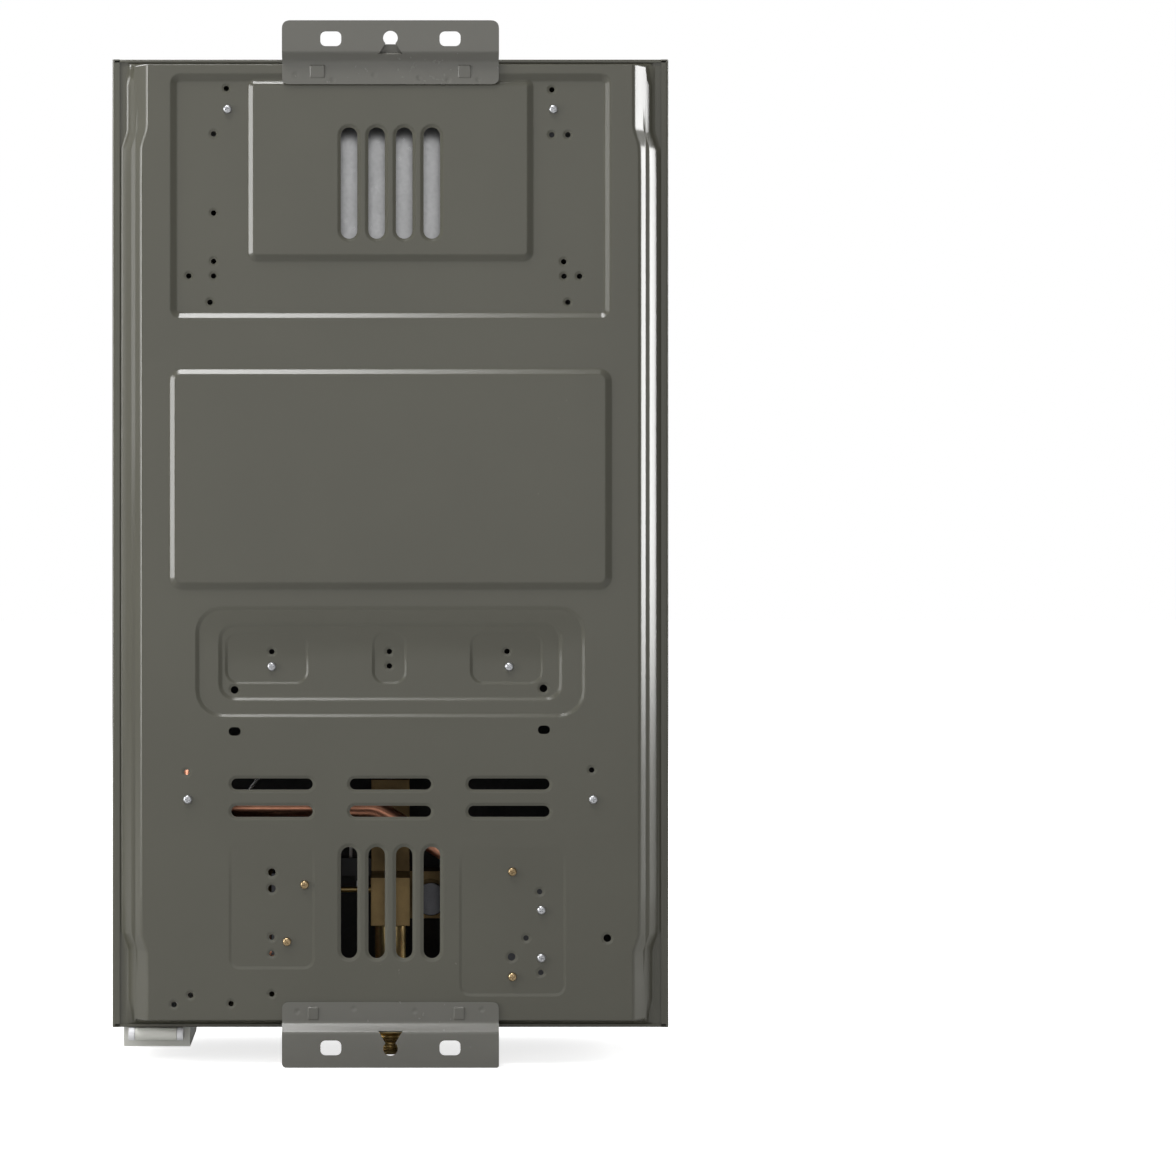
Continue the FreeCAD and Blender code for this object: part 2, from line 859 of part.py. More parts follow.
bottom = casing_end("casing_bottom", as_size(0), size.sheet, (size.end_lip, size.front_lip))
bottom_holes = sketch_on(bottom, "bottom_holes", "XY_Plane")
for place_x in (-size.fitting_offset, as_size(0), size.fitting_offset):
    circle(bottom_holes, place_x, -size.fitting_back, size.fitting_radius + size.play)
circle(bottom_holes, size.drain_side, -size.drain_back, size.drain_radius + size.play)
box_front = behind(size.door_front)
lug_rear = behind(size.hinge_behind - size.hinge_clear)
outline(bottom_holes, [(tube_x - size.door_half_width + size.sheet, box_front + size.sheet),
                       (tube_x + size.door_half_width - size.sheet, box_front + size.sheet),
                       (tube_x + size.door_half_width - size.sheet, lug_rear),
                       (tube_x - size.door_half_width + size.sheet, lug_rear)])
pocket(bottom, "bottom_opening", bottom_holes, size.sheet * 3, both=True)
sub_part("casing_bottom", bottom)


# ---------------------------------------------------------------- back pan

def pan_form(name, inset):
    """The pan's tapered form: full height with narrow ends, and a wider middle between the jogs."""
    base = pan_base - inset
    tip = pan_tip - inset
    low, high = size.pan_base_margin + inset, size.casing_height - size.pan_base_margin - inset
    tip_low, tip_high = size.pan_tip_low + inset, below(size.pan_tip_drop) - inset
    depth = (flange_front, pan_plane - inset)
    ends = taper(name + "_ends", depth, (-(base - size.jog), base - size.jog), (low, high),
                 (-(tip - size.jog), tip - size.jog), (tip_low, tip_high))
    jogs = (size.jog_low + inset, below(size.jog_drop) - inset)
    middle = taper(name + "_middle", depth, (-base, base), jogs, (-tip, tip), jogs)
    return [ends, middle]


def pressing(name, half, low, high, plane, depth, over):
    """Pressed step with walls at 45 degrees; it narrows away from its open side."""
    deep, open_side = plane - depth, plane + over
    return taper(name, (deep, open_side), (-(half - depth), half - depth), (low + depth, high - depth),
                 (-(half + over), half + over), (low - over, high + over))


def raised(name, half, low, high, plane, height, under):
    """Pressed island with walls at 45 degrees; it narrows towards its top."""
    foot, peak = plane - under, plane + height
    return taper(name, (foot, peak), (-(half + under), half + under), (low - under, high + under),
                 (-(half - height), half - height), (low + height, high - height))


def pressed_pan(name, inset):
    """The pan's form with its large pressings, outside when inset is nothing, inside with the sheet."""
    plane = pan_plane - inset
    bend = inset * BEND_SHARE
    island = raised(name + "_mid", size.mid_press_half - bend, size.mid_press_low + bend,
                    below(size.mid_press_drop) - bend, plane, size.press_depth, size.press_depth)
    whole = fuse(name + "_raised", *pan_form(name, inset), island)
    flue = pressing(name + "_flue", size.flue_press_half + bend, below(size.flue_press_foot_drop) - bend,
                    below(size.flue_press_drop) + bend, plane, size.press_depth, size.sheet)
    burner = pressing(name + "_burner", size.burner_press_half + bend, size.burner_press_low - bend,
                      size.burner_press_high + bend, plane, size.step_depth, size.sheet)
    step = pressing(name + "_step", size.burner_step_half + bend, size.burner_step_low - bend,
                    size.burner_step_high + bend, plane - size.step_depth, size.step_depth, size.sheet)
    sunk = cut(name + "_sunk", cut(name + "_flue_cut", whole, flue), fuse(name + "_steps", burner, step))
    middle = box(name + "_flue_island", (-(size.flue_island_half - bend), size.flue_island_half - bend),
                 (plane - size.press_depth * 2, plane),
                 (below(size.flue_island_drop) + bend, below(size.flue_press_drop) + size.sheet))
    return fuse(name, sunk, middle)


hood_screw_height = below(HOOD_SCREW_DROP)
silver_spots = SILVER_SCREWS + [(HOOD_SCREW_SIDE, hood_screw_height), (-HOOD_SCREW_SIDE, hood_screw_height)]


def pan_holes():
    """Tools for the slots and the round holes of the pan."""
    through = (inner_pan - 3 * size.press_depth, pan_plane + 2 * size.press_depth)
    tools = []
    for name, height in (("flue_slot", below(size.flue_slot_drop)), ("valve_slot", size.valve_slot_height)):
        for index in range(4):
            x = size.flue_slot_pitch * (index - 1.5)
            tools.append(slot(f"{name}_{index}", x, height, size.flue_slot_long,
                              size.flue_slot_wide, True, through))
    for row in (-0.5, 0.5):
        for column in (-1, 0, 1):
            name = f"air_slot_{column + 1}_{int(row + 0.5)}"
            tools.append(slot(name, size.air_slot_pitch * column,
                              size.air_slot_height + size.air_slot_rows * row,
                              size.air_slot_long, size.air_slot_wide, False, through))
    for index, (x, z) in enumerate(WALL_OVALS):
        tools.append(slot(f"wall_oval_{index}", as_size(x), as_size(z), size.oval_long,
                          size.oval_wide, False, through))
    for index, (x, z) in enumerate(PILOT_HOLES + [(x, below(drop)) for x, drop in HIGH_HOLES]):
        tools.append(rod(f"pilot_{index}", "y", size.pilot_radius, through, (x, z)))
    for index, (x, z) in enumerate(silver_spots + BRASS_SCREWS):
        radius = size.screw_radius + size.thin_play
        tools.append(rod(f"screw_hole_{index}", "y", radius, through, (x, z)))
    return tools


ring_half = inner_half - size.play
pan_ring = cut("pan_ring",
               box("pan_ring_plate", (-ring_half, ring_half), (flange_front, flange_rear),
                   (size.sheet, top_under)),
               box("pan_ring_hole", (-(pan_base - size.jog - size.sheet),
                                     pan_base - size.jog - size.sheet),
                   (flange_front, flange_rear),
                   (size.pan_base_margin + size.sheet,
                    size.casing_height - size.pan_base_margin - size.sheet)))
pan_shell = cut("pan_shell", pressed_pan("pan_outer", as_size(0)), pressed_pan("pan_inner", size.sheet))
back_plate = cut("back_plate_cut", fuse("pan_with_ring", pan_shell, pan_ring), *pan_holes())
sub_part("back_plate", back_plate)


# ---------------------------------------------------------------- wall hangers

def hanger(label, leg, bend, flange, slot_height, key):
    """Joggled strip: a leg on the pan, a bend, and a flange on the wall with two slots and a keyhole."""
    body = new_body(label + "_body")
    profile = sketch_on(body, label + "_profile", "YZ_Plane")
    thick = size.hanger_sheet
    on_pan = pan_plane + thick
    outline(profile, [(pan_plane, leg), (on_pan, leg), (on_pan, bend[0]), (wall_plane, bend[1]),
                      (wall_plane, flange), (wall_plane - thick, flange),
                      (wall_plane - thick, bend[1] + bend[2]), (pan_plane, bend[0] + bend[2])])
    pad(body, label + "_strip", profile, size.hanger_width, both=True)
    holes = sketch_on(body, label + "_holes", "XZ_Plane")
    for side in (-1, 1):
        racetrack(holes, size.hanger_slot_spacing / 2 * side, slot_height,
                  size.hanger_slot_long, size.hanger_slot_wide)
    narrow, wide = size.keyhole_narrow / 2, size.keyhole_wide / 2
    round_end, throat, mouth = key
    outline(holes, [(-narrow, round_end), (narrow, round_end), (narrow, throat), (wide, mouth),
                    (-wide, mouth), (-narrow, throat)])
    pocket(body, label + "_slots", holes, size.stand_off * 4, both=True)
    crown = sketch_on(body, label + "_crown", "XZ_Plane")
    circle(crown, 0, round_end, narrow)
    pocket(body, label + "_keyhole", crown, size.stand_off * 4, both=True)
    doc.recompute()
    corners = []
    for index, edge in enumerate(body.Shape.Edges, 1):
        ends = [vertex.Point for vertex in edge.Vertexes]
        at_side = all(abs(abs(spot.x) - float(size.hanger_width) / 2) < 0.01 for spot in ends)
        at_end = all(min(abs(spot.z - float(leg)), abs(spot.z - float(flange))) < 0.01 for spot in ends)
        across = abs(edge.Length - float(size.hanger_sheet)) < 0.01
        if at_side and at_end and across:
            corners.append(f"Edge{index}")
    fillet(body, label + "_corners", corners, size.hanger_corner)
    sub_part(label, body)


hanger("top_hanger", below(size.top_leg_drop),
       (below(size.top_bend_drop), above(size.top_bend_rise), size.hanger_sheet / 2),
       above(size.top_flange_rise), hang_height,
       (hang_height + size.keyhole_crown, hang_height - size.keyhole_throat,
        above(size.top_bend_rise) - size.sheet))
hanger("bottom_hanger", size.low_leg_high,
       (size.low_bend_high, size.low_bend_low, -size.hanger_sheet / 2),
       size.low_flange_low, size.low_slot_height,
       (size.low_slot_height - size.keyhole_crown, size.low_slot_height + size.keyhole_throat,
        size.low_bend_low + size.sheet))


# ---------------------------------------------------------------- front panel

panel = new_body("front_panel_body")
panel_sketch = sketch_on(panel, "panel_outline", "XZ_Plane", -door_plane)
panel_high = size.casing_height - size.front_drop
outline(panel_sketch, [(-half_width, as_size(0)), (half_width, as_size(0)),
                       (half_width, panel_high), (-half_width, panel_high)])
pad(panel, "panel_block", panel_sketch, size.front_depth)
doc.recompute()
front_edges = []
for index, edge in enumerate(panel.Shape.Edges, 1):
    if all(abs(vertex.Y - float(face_plane)) < 0.01 for vertex in edge.Vertexes):
        front_edges.append(f"Edge{index}")
panel_round = fillet(panel, "panel_round", front_edges, size.front_corner)
doc.recompute()
open_face = next(index for index, face in enumerate(panel.Shape.Faces, 1)
                 if abs(face.CenterOfMass.y - float(door_plane)) < 0.01)
panel_shell = panel.newObject("PartDesign::Thickness", "panel_shell")
panel_shell.Base = (panel_round, [f"Face{open_face}"])
drive(panel_shell, "Value", size.sheet)
panel_shell.Reversed = True
panel_holes = sketch_on(panel, "panel_holes", "XZ_Plane", -door_plane)
for x, z in ((as_size(0), size.season_height), (-size.knob_offset, size.knob_height),
             (size.knob_offset, size.knob_height)):
    circle(panel_holes, x, z, size.spindle_hole)
circle(panel_holes, 0, size.sight_height, size.sight_radius - size.ring_lap)
lens_half = size.display_width / 2 + size.play
outline(panel_holes, [(-lens_half, size.display_height - size.play),
                      (lens_half, size.display_height - size.play),
                      (lens_half, size.display_height + size.display_tall + size.play),
                      (-lens_half, size.display_height + size.display_tall + size.play)])
pocket(panel, "panel_openings", panel_holes, size.front_depth * 2, both=True)
sub_part("front_panel", panel)

sub_part("display_lens", box("lens", (-size.display_width / 2, size.display_width / 2),
                             (panel_back - size.lens_thick, panel_back),
                             (size.display_height, size.display_height + size.display_tall)))
rim = size.display_rim
sub_part("display_housing",
         box("housing", (-size.display_width / 2 - rim, size.display_width / 2 + rim),
             (panel_back, panel_back + size.housing_deep),
             (size.display_height - rim, size.display_height + size.display_tall + rim)))
sub_part("sight_glass", rod("glass", "y", size.sight_radius + size.sight_ring_wide,
                            (panel_back, panel_back + size.glass_thick), (0, size.sight_height)))
sub_part("sight_ring",
         cut("ring", rod("ring_disc", "y", size.sight_radius + size.sight_ring_wide,
                         (face_plane - size.ring_rise, face_plane), (0, size.sight_height)),
             rod("ring_hole", "y", size.sight_radius - size.ring_lap,
                 (face_plane - size.ring_rise, face_plane), (0, size.sight_height))))


def knob(label, x, z, radius, rise, seat, spindle_end):
    """Turned knob on its spindle; the seat is the rise of the collar or bezel behind it."""
    body = new_body(label + "_body")
    profile = sketch_on(body, label + "_profile", "XY_Plane")
    bore = size.spindle_radius + size.thin_play
    start = seat + size.knob_gap
    edge = size.knob_edge
    cap = size.knob_cap
    outline(profile, [(bore, -start), (radius, -start), (radius, -(rise - edge)),
                      (radius - edge, -rise), (as_size(0), -rise), (as_size(0), -(rise - cap)),
                      (bore, -(rise - cap))])
    revolve(body, label + "_turned", profile)
    place(body, x, face_plane, z)
    mark = box(label + "_mark", (x - size.mark_wide / 2, x + size.mark_wide / 2),
               (face_plane - rise, face_plane - rise + size.mark_deep),
               (z + size.mark_start, z + radius))
    sub_part(label + "_knob", cut(label + "_knob_marked", body, mark))
    sub_part(label + "_spindle", rod(label + "_rod", "y", size.spindle_radius,
                                     (face_plane - rise + cap, spindle_end), (x, z)))


valve_face = -size.valve_front
spindle_end = valve_face - size.boss_long + size.spindle_depth
knob("season", as_size(0), size.season_height, size.season_radius, size.season_rise,
     size.collar_rise, spindle_end)
knob("gas", -size.knob_offset, size.knob_height, size.knob_radius, size.knob_rise,
     size.bezel_rise, spindle_end)
knob("water", size.knob_offset, size.knob_height, size.knob_radius, size.knob_rise,
     size.bezel_rise, spindle_end)


def bezel(name, x, z, radius, tip, rise):
    """Domed ring around a spindle, flat on the panel."""
    return cut(name, cone(name + "_dome", "y", tip, radius, (face_plane - rise, face_plane), (x, z)),
               rod(name + "_hole", "y", size.spindle_hole, (face_plane - rise, face_plane), (x, z)))


sub_part("knob_bezels",
         group("bezels",
               bezel("season_collar", as_size(0), size.season_height, size.collar_radius,
                     size.collar_radius - size.sheet, size.collar_rise),
               bezel("gas_bezel", -size.knob_offset, size.knob_height, size.bezel_radius,
                     size.knob_radius + size.bezel_margin, size.bezel_rise),
               bezel("water_bezel", size.knob_offset, size.knob_height, size.bezel_radius,
                     size.knob_radius + size.bezel_margin, size.bezel_rise)))

clip_middle = face_plane - size.clip_foot - size.clip_outer + size.clip_seat
clip_span = (size.clip_height - size.clip_tall / 2, size.clip_height + size.clip_tall / 2)
clip_ring = cut("clip_ring",
                rod("clip_outside", "z", size.clip_outer, clip_span, (0, clip_middle)),
                rod("clip_inside", "z", size.clip_bore, clip_span, (0, clip_middle)),
                box("clip_gap", (-size.clip_mouth / 2, size.clip_mouth / 2),
                    (clip_middle - size.clip_outer - size.sheet, clip_middle), clip_span),
                box("clip_trim", (-size.clip_outer - size.sheet, size.clip_outer + size.sheet),
                    (clip_middle - size.clip_outer - size.sheet, clip_middle - size.clip_lip), clip_span))
clip_foot = cut("clip_foot",
                box("clip_base", (-size.clip_outer, size.clip_outer),
                    (face_plane - size.clip_foot - size.clip_seat, face_plane), clip_span),
                rod("clip_base_hollow", "z", size.clip_bore, clip_span, (0, clip_middle)))
sub_part("shower_clip", fuse("clip", clip_foot, clip_ring))

sub_part("side_sticker",
         box("sticker", (half_width, half_width + size.sticker_thick),
             (behind(size.sticker_front), behind(size.sticker_front + size.sticker_long)),
             (size.sticker_low, size.sticker_low + size.sticker_tall)))


# ---------------------------------------------------------------- battery box

tube_places = [behind(size.tube_front), behind(size.tube_front + size.tube_pitch)]
box_low = size.sheet
shelf = size.box_shelf
tubes = [rod(f"tube_{index}", "z", size.tube_radius, (box_low, size.box_high), (tube_x, y))
         for index, y in enumerate(tube_places)]
web = box("tube_web", (tube_x - size.tube_wall, tube_x + size.tube_wall),
          (tube_places[0], tube_places[1]), (box_low, size.box_high))
box_half = size.door_half_width + size.sheet * 2
rim_plate = box("box_flange", (tube_x - box_half, tube_x + box_half),
           (box_front - size.sheet * 2, flange_front - size.play), (box_low, box_low + shelf))
bores = [rod(f"bore_{index}", "z", size.tube_radius - size.tube_wall,
             (box_low, size.box_high - size.box_roof), (tube_x, y))
         for index, y in enumerate(tube_places)]
hinge_y = behind(size.hinge_behind)
hinge_z = -size.hinge_drop
lugs = []
for index, side in enumerate((-1, 1)):
    near = tube_x + side * size.hinge_half
    far = tube_x + side * (size.hinge_half + size.lug_thick)
    span = (near, far) if side > 0 else (far, near)
    lugs.append(box(f"lug_neck_{index}", span, (lug_rear - size.lug_deep, lug_rear - size.play),
                    (hinge_z - size.hinge_radius, box_low + shelf)))
    lugs.append(box(f"lug_arm_{index}", span, (lug_rear - size.lug_deep, hinge_y),
                    (hinge_z - size.hinge_radius, hinge_z + size.hinge_radius)))
    lugs.append(rod(f"lug_eye_{index}", "x", size.hinge_radius, span, (hinge_y, hinge_z)))
lug_reach = size.hinge_half + size.lug_thick
pin_span = (tube_x - lug_reach, tube_x + lug_reach)
pin_hole = rod("lug_bore", "x", size.hinge_pin + size.thin_play, pin_span, (hinge_y, hinge_z))
battery_box = cut("battery_box_cut", fuse("box_body", web, rim_plate, *tubes, *lugs), *bores, pin_hole)
sub_part("battery_box", battery_box)
sub_part("battery_door_pin", rod("door_pin", "x", size.hinge_pin, pin_span, (hinge_y, hinge_z)))

door_top = -size.play
door_low = door_top - size.door_tall
door_front = behind(size.door_front)
door_rear = behind(size.door_rear)
door = new_body("battery_door_body")
door_profile = sketch_on(door, "door_profile", "YZ_Plane", tube_x)
chamfer = size.door_chamfer
outline(door_profile, [(door_front, door_top), (door_front, door_low + chamfer),
                       (door_front + chamfer, door_low), (door_rear, door_low),
                       (door_rear, door_top)])
pad(door, "door_block", door_profile, 2 * size.door_half_width, both=True)
door_hollow = sketch_on(door, "door_hollow", "YZ_Plane", tube_x)
inner_low = door_low + size.door_wall
outline(door_hollow, [(door_front + size.door_wall, door_top),
                      (door_front + size.door_wall, inner_low + chamfer),
                      (door_front + chamfer, inner_low), (door_rear - size.door_wall, inner_low),
                      (door_rear - size.door_wall, door_top)])
pocket(door, "door_inside", door_hollow, 2 * (size.door_half_width - size.door_wall), both=True)
arm_half = size.hinge_half - size.play
arm_low, arm_high = hinge_z - size.hinge_radius, hinge_z + size.hinge_radius
door_arm = box("door_arm", (tube_x - arm_half, tube_x + arm_half),
               (door_rear - size.sheet, hinge_y), (arm_low, arm_high))
door_knuckle = rod("door_knuckle", "x", size.hinge_radius,
                   (tube_x - arm_half, tube_x + arm_half), (hinge_y, hinge_z))
door_bore = rod("door_bore", "x", size.hinge_pin + size.thin_play, pin_span, (hinge_y, hinge_z))
sub_part("battery_door",
         cut("door_cut", fuse("door_parts", door, door_arm, door_knuckle), door_bore))

cell_low = size.box_high - size.box_roof - size.cell_tip - size.cell_long
cells = []
for index, y in enumerate(tube_places):
    can = rod(f"cell_can_{index}", "z", size.cell_radius, (cell_low, cell_low + size.cell_long),
              (tube_x, y))
    tip = rod(f"cell_tip_{index}", "z", size.cell_tip_radius,
              (cell_low + size.cell_long, cell_low + size.cell_long + size.cell_tip),
              (tube_x, y))
    cells.append(fuse(f"cell_{index}", can, tip))
sub_part("battery_cells", group("cells", *cells))



def quartered(centre, radius):
    """Circle across y in four arcs, so that a sweep of it has no seam of its own."""
    arcs = []
    for quarter in range(4):
        spots = [centre + FreeCAD.Vector(math.cos(turn), 0, math.sin(turn)) * float(radius)
                 for turn in (math.pi / 4 * (2 * quarter + step) for step in range(3))]
        arcs.append(Part.Arc(*spots).toShape())
    return Part.Wire(arcs)


spring_rise = cell_low - inner_low - 2 * size.spring_wire
springs = []
for index, y in enumerate(tube_places):
    coil = Part.makeHelix(float(spring_rise / size.spring_turns), float(spring_rise),
                          float(size.spring_radius))
    start = coil.Edges[0].Vertexes[0].Point
    wound = Part.Wire(coil.Edges).makePipeShell([quartered(start, size.spring_wire)], True, True)
    wound.translate(point(tube_x, y, inner_low + size.spring_wire))
    springs.append(wound)
sub_part("battery_springs", solid_of("springs", Part.makeCompound(springs)))


# ---------------------------------------------------------------- heat exchanger and hood

chamber_y = (-size.chamber_front, -size.chamber_rear)
chamber = cut("chamber",
              box("chamber_outside", (-size.chamber_half, size.chamber_half), chamber_y,
                  (size.chamber_low, chamber_top)),
              box("chamber_inside", (-size.chamber_half + size.sheet, size.chamber_half - size.sheet),
                  (chamber_y[0] + size.sheet, chamber_y[1] - size.sheet),
                  (size.chamber_low, chamber_top)))
sub_part("chamber_shell", chamber)

fin_low = chamber_top
tube_low = fin_low + (fin_top - fin_low) / 2
tube_step = (size.chamber_front - size.chamber_rear) / SIZES["tube_count"]
tube_backs = [chamber_y[0] + tube_step * (index + 0.5) for index in range(SIZES["tube_count"])]
fin_tools = [rod(f"fin_hole_{index}", "x", size.pipe_radius + size.thin_play,
                 (-size.chamber_half, size.chamber_half), (y, tube_low))
             for index, y in enumerate(tube_backs)]
fin_blocks = []
for index in range(SIZES["fin_count"]):
    middle = size.fin_pitch * (index - (SIZES["fin_count"] - 1) / 2)
    fin_blocks.append(box(f"fin_{index}", (middle - size.fin_thick / 2, middle + size.fin_thick / 2),
                          chamber_y, (fin_low, fin_top)))
sub_part("exchanger_fins", cut("fins", group("fin_plates", *fin_blocks), *fin_tools))

end_reach = size.chamber_half + size.header_wall
headers = []
for index, side in enumerate((-1, 1)):
    near, far = side * size.chamber_half, side * end_reach
    headers.append(box(f"header_{index}", (near, far) if side > 0 else (far, near), chamber_y,
                       (fin_low, fin_top)))
water_tubes = [rod(f"water_tube_{index}", "x", size.pipe_radius, (-size.chamber_half, size.chamber_half),
                   (y, tube_low)) for index, y in enumerate(tube_backs)]
sub_part("exchanger_tubes", group("tubes_and_headers", *water_tubes, *headers))

loop_x = size.chamber_half + size.pipe_radius + size.loop_gap
loop_front = chamber_y[0] - size.pipe_radius - size.loop_gap
loop_rear = chamber_y[1] + size.pipe_radius + size.loop_gap
loop_low = size.chamber_low + size.loop_start
turns = SIZES["loop_turns"]
climb = (chamber_top - size.loop_head - loop_low) / (2 * turns + 1)
inlet_y = -size.riser_back
outlet_y = tube_backs[-1]
loop = [point(loop_x, inlet_y, loop_low - climb)]
loop.append(point(loop_x, inlet_y, loop_low))
loop_corners = [(loop_x, loop_front), (-loop_x, loop_front), (-loop_x, loop_rear), (loop_x, loop_rear)]
for index in range(4 * turns):
    x, y = loop_corners[index % 4]
    loop.append(point(x, y, loop_low + climb * (index + 1) / 2))
loop.append(point(loop_x, outlet_y, chamber_top - size.loop_head))
sub_part("exchanger_coil", tube("coil", loop, size.pipe_radius, size.pipe_wall, size.loop_bend))

foil_x = end_reach + size.play
foil_y = (chamber_y[0] - size.play, chamber_y[1] + size.play)
foil_z = (below(size.foil_foot_drop), below(size.foil_drop))
foil = size.foil_thick
sub_part("foil_wrap",
         cut("foil", box("foil_outside", (-foil_x - foil, foil_x + foil),
                         (foil_y[0] - foil, foil_y[1] + foil), foil_z),
             box("foil_inside", (-foil_x, foil_x), foil_y, foil_z)))

hood = new_body("flue_hood_body")
hood_profile = sketch_on(hood, "hood_profile", "YZ_Plane")
hood_front = chamber_y[0] - size.hood_over
hood_rear = chamber_y[1] + size.hood_over


def hood_outline(inset):
    """Arch of the hood seen from its end, drawn inset from the outside of its sheet."""
    front, rear = hood_front + inset, hood_rear - inset
    return [(front, below(size.hood_foot_drop)), (rear, below(size.hood_foot_drop)), (rear, hood_bend),
            (flue_middle + size.hood_flat, hood_top - inset),
            (flue_middle - size.hood_flat, hood_top - inset), (front, hood_bend)]


outline(hood_profile, hood_outline(as_size(0)))
pad(hood, "hood_block", hood_profile, 2 * size.hood_half, both=True)
hood_inside = sketch_on(hood, "hood_inside", "YZ_Plane")
outline(hood_inside, hood_outline(size.sheet))
pocket(hood, "hood_hollow", hood_inside, 2 * (size.hood_half - size.sheet), both=True)
socket_span = (hood_top - size.sheet - size.hood_dip, top_under)
socket_out = rod("socket_outside", "z", size.flue_radius + size.sheet, socket_span, (0, flue_middle))
socket_bore = rod("socket_bore", "z", size.flue_radius, socket_span, (0, flue_middle))
rear_tail = box("hood_rear_tail", (-size.hood_tail_half, size.hood_tail_half),
                (hood_rear - size.sheet, hood_rear), (below(size.hood_tail_drop), hood_bend))
sub_part("flue_hood", cut("hood_cut", fuse("hood_with_socket", hood, socket_out, rear_tail), socket_bore))

foot_rear = inner_pan - size.press_depth
foot_front = foot_rear - size.bracket_sheet
arm_low = hood_bend - size.bracket_drop
brackets = []
for index, side in enumerate((-1, 1)):
    middle = side * HOOD_SCREW_SIDE
    across = (middle - size.bracket_wide / 2, middle + size.bracket_wide / 2)
    arm = box(f"hood_arm_{index}", across, (hood_rear, foot_rear), (arm_low, arm_low + size.bracket_sheet))
    foot = box(f"hood_foot_{index}", across, (foot_front, foot_rear), (arm_low, arm_low + size.foot_tall))
    brackets.append(cut(f"hood_bracket_{index}", fuse(f"hood_bracket_form_{index}", arm, foot),
                        rod(f"hood_screw_{index}", "y", size.screw_radius + size.thin_play,
                            (foot_front, foot_rear), (middle, hood_screw_height))))
for index, (side, y) in enumerate(((-1, 0), (1, 0), (-1, 1), (1, 1))):
    spot = (side * (size.chamber_half + size.header_wall / 2),
            chamber_y[y] + (1 - 2 * y) * (size.post_radius + size.sheet))
    brackets.append(rod(f"hood_post_{index}", "z", size.post_radius,
                        (fin_top, below(size.hood_foot_drop)), spot))
sub_part("hood_brackets", group("hood_supports", *brackets))


# ---------------------------------------------------------------- burner and gas train

bar_half = size.bar_thick / 2
bars = []
for index in range(SIZES["bar_count"]):
    middle = size.bar_pitch * (index - (SIZES["bar_count"] - 1) / 2)
    bar = box(f"bar_{index}", (middle - bar_half, middle + bar_half),
              (-size.burner_front, -size.burner_rear),
              (size.burner_low + size.bar_lift, size.burner_high))
    throat = rod(f"throat_{index}", "y", bar_half, (-size.burner_front, -size.burner_rear - size.throat_gap),
                 (middle, size.manifold_height))
    mouth = rod(f"mouth_{index}", "y", size.jet_radius + size.play,
                (-size.burner_front, -size.burner_front + size.mouth_deep), (middle, size.manifold_height))
    hollow = box(f"bar_hollow_{index}", (middle - bar_half + size.sheet, middle + bar_half - size.sheet),
                 (-size.burner_front + size.sheet, -size.burner_rear - size.sheet),
                 (size.burner_low + size.bar_lift + size.sheet, size.burner_high - size.sheet))
    bars.append(cut(f"burner_bar_{index}", fuse(f"bar_form_{index}", bar, throat), mouth, hollow))
sub_part("burner_bars", group("bars", *bars))

rack_half = size.burner_half
rack_sheet = size.bracket_sheet
rack_y = (-size.burner_front - size.rack_front, -size.burner_rear + size.rack_rear)
rack_z = (size.burner_low, size.chamber_low)
rack_back = rack_y[1] - rack_sheet
shelf_high = size.burner_low + size.bar_lift
rack_parts = [box("rack_left", (-rack_half, -rack_half + rack_sheet), rack_y, rack_z),
              box("rack_right", (rack_half - rack_sheet, rack_half), rack_y, rack_z),
              box("rack_rear", (-rack_half, rack_half), (rack_back, rack_y[1]), rack_z),
              box("rack_shelf", (-rack_half, rack_half), (-size.burner_rear - size.shelf_deep, rack_y[1]),
                  (shelf_high - rack_sheet, shelf_high))]
stay_rear = inner_pan - 2 * size.step_depth
stay_holes = []
for index, side in enumerate((-1, 1)):
    middle = side * RACK_SCREW_SIDE
    rack_parts.append(box(f"rack_stay_{index}", (middle - size.stay_half, middle + size.stay_half),
                          (rack_back, stay_rear),
                          (RACK_SCREW_HEIGHT - size.stay_half, RACK_SCREW_HEIGHT + size.stay_half)))
    stay_holes.append(rod(f"stay_hole_{index}", "y", size.screw_radius + size.thin_play,
                          (stay_rear - size.screw_reach, stay_rear), (middle, RACK_SCREW_HEIGHT)))
sub_part("burner_rack", cut("rack_cut", fuse("rack", *rack_parts), *stay_holes))

manifold_y = -size.manifold_front
sub_part("gas_manifold", rod("manifold", "x", size.manifold_radius, (-rack_half, rack_half),
                             (manifold_y, size.manifold_height)))
jets = []
for index in range(SIZES["bar_count"]):
    middle = size.bar_pitch * (index - (SIZES["bar_count"] - 1) / 2)
    jets.append(rod(f"jet_{index}", "y", size.jet_radius,
                    (manifold_y + size.manifold_radius - size.jet_seat,
                     -size.burner_front + size.jet_reach),
                    (middle, size.manifold_height)))
manifold_bed = rod("manifold_bed", "x", size.manifold_radius, (-rack_half, rack_half),
                   (manifold_y, size.manifold_height))
sub_part("gas_jets", cut("jets", group("jet_rods", *jets), manifold_bed))

riser_top = size.manifold_height - size.manifold_radius
valve_middle = -(size.valve_front + size.valve_rear) / 2
gas_riser = [point(0, valve_middle, size.season_high),
             point(0, valve_middle, size.season_high + size.riser_straight),
             point(0, manifold_y, size.season_high + size.riser_lean),
             point(0, manifold_y, riser_top + size.sheet)]
doc.recompute()
riser = piped(gas_riser, size.riser_radius, size.loop_bend).cut(manifold_bed.Shape)
sub_part("gas_riser", solid_of("riser", riser))


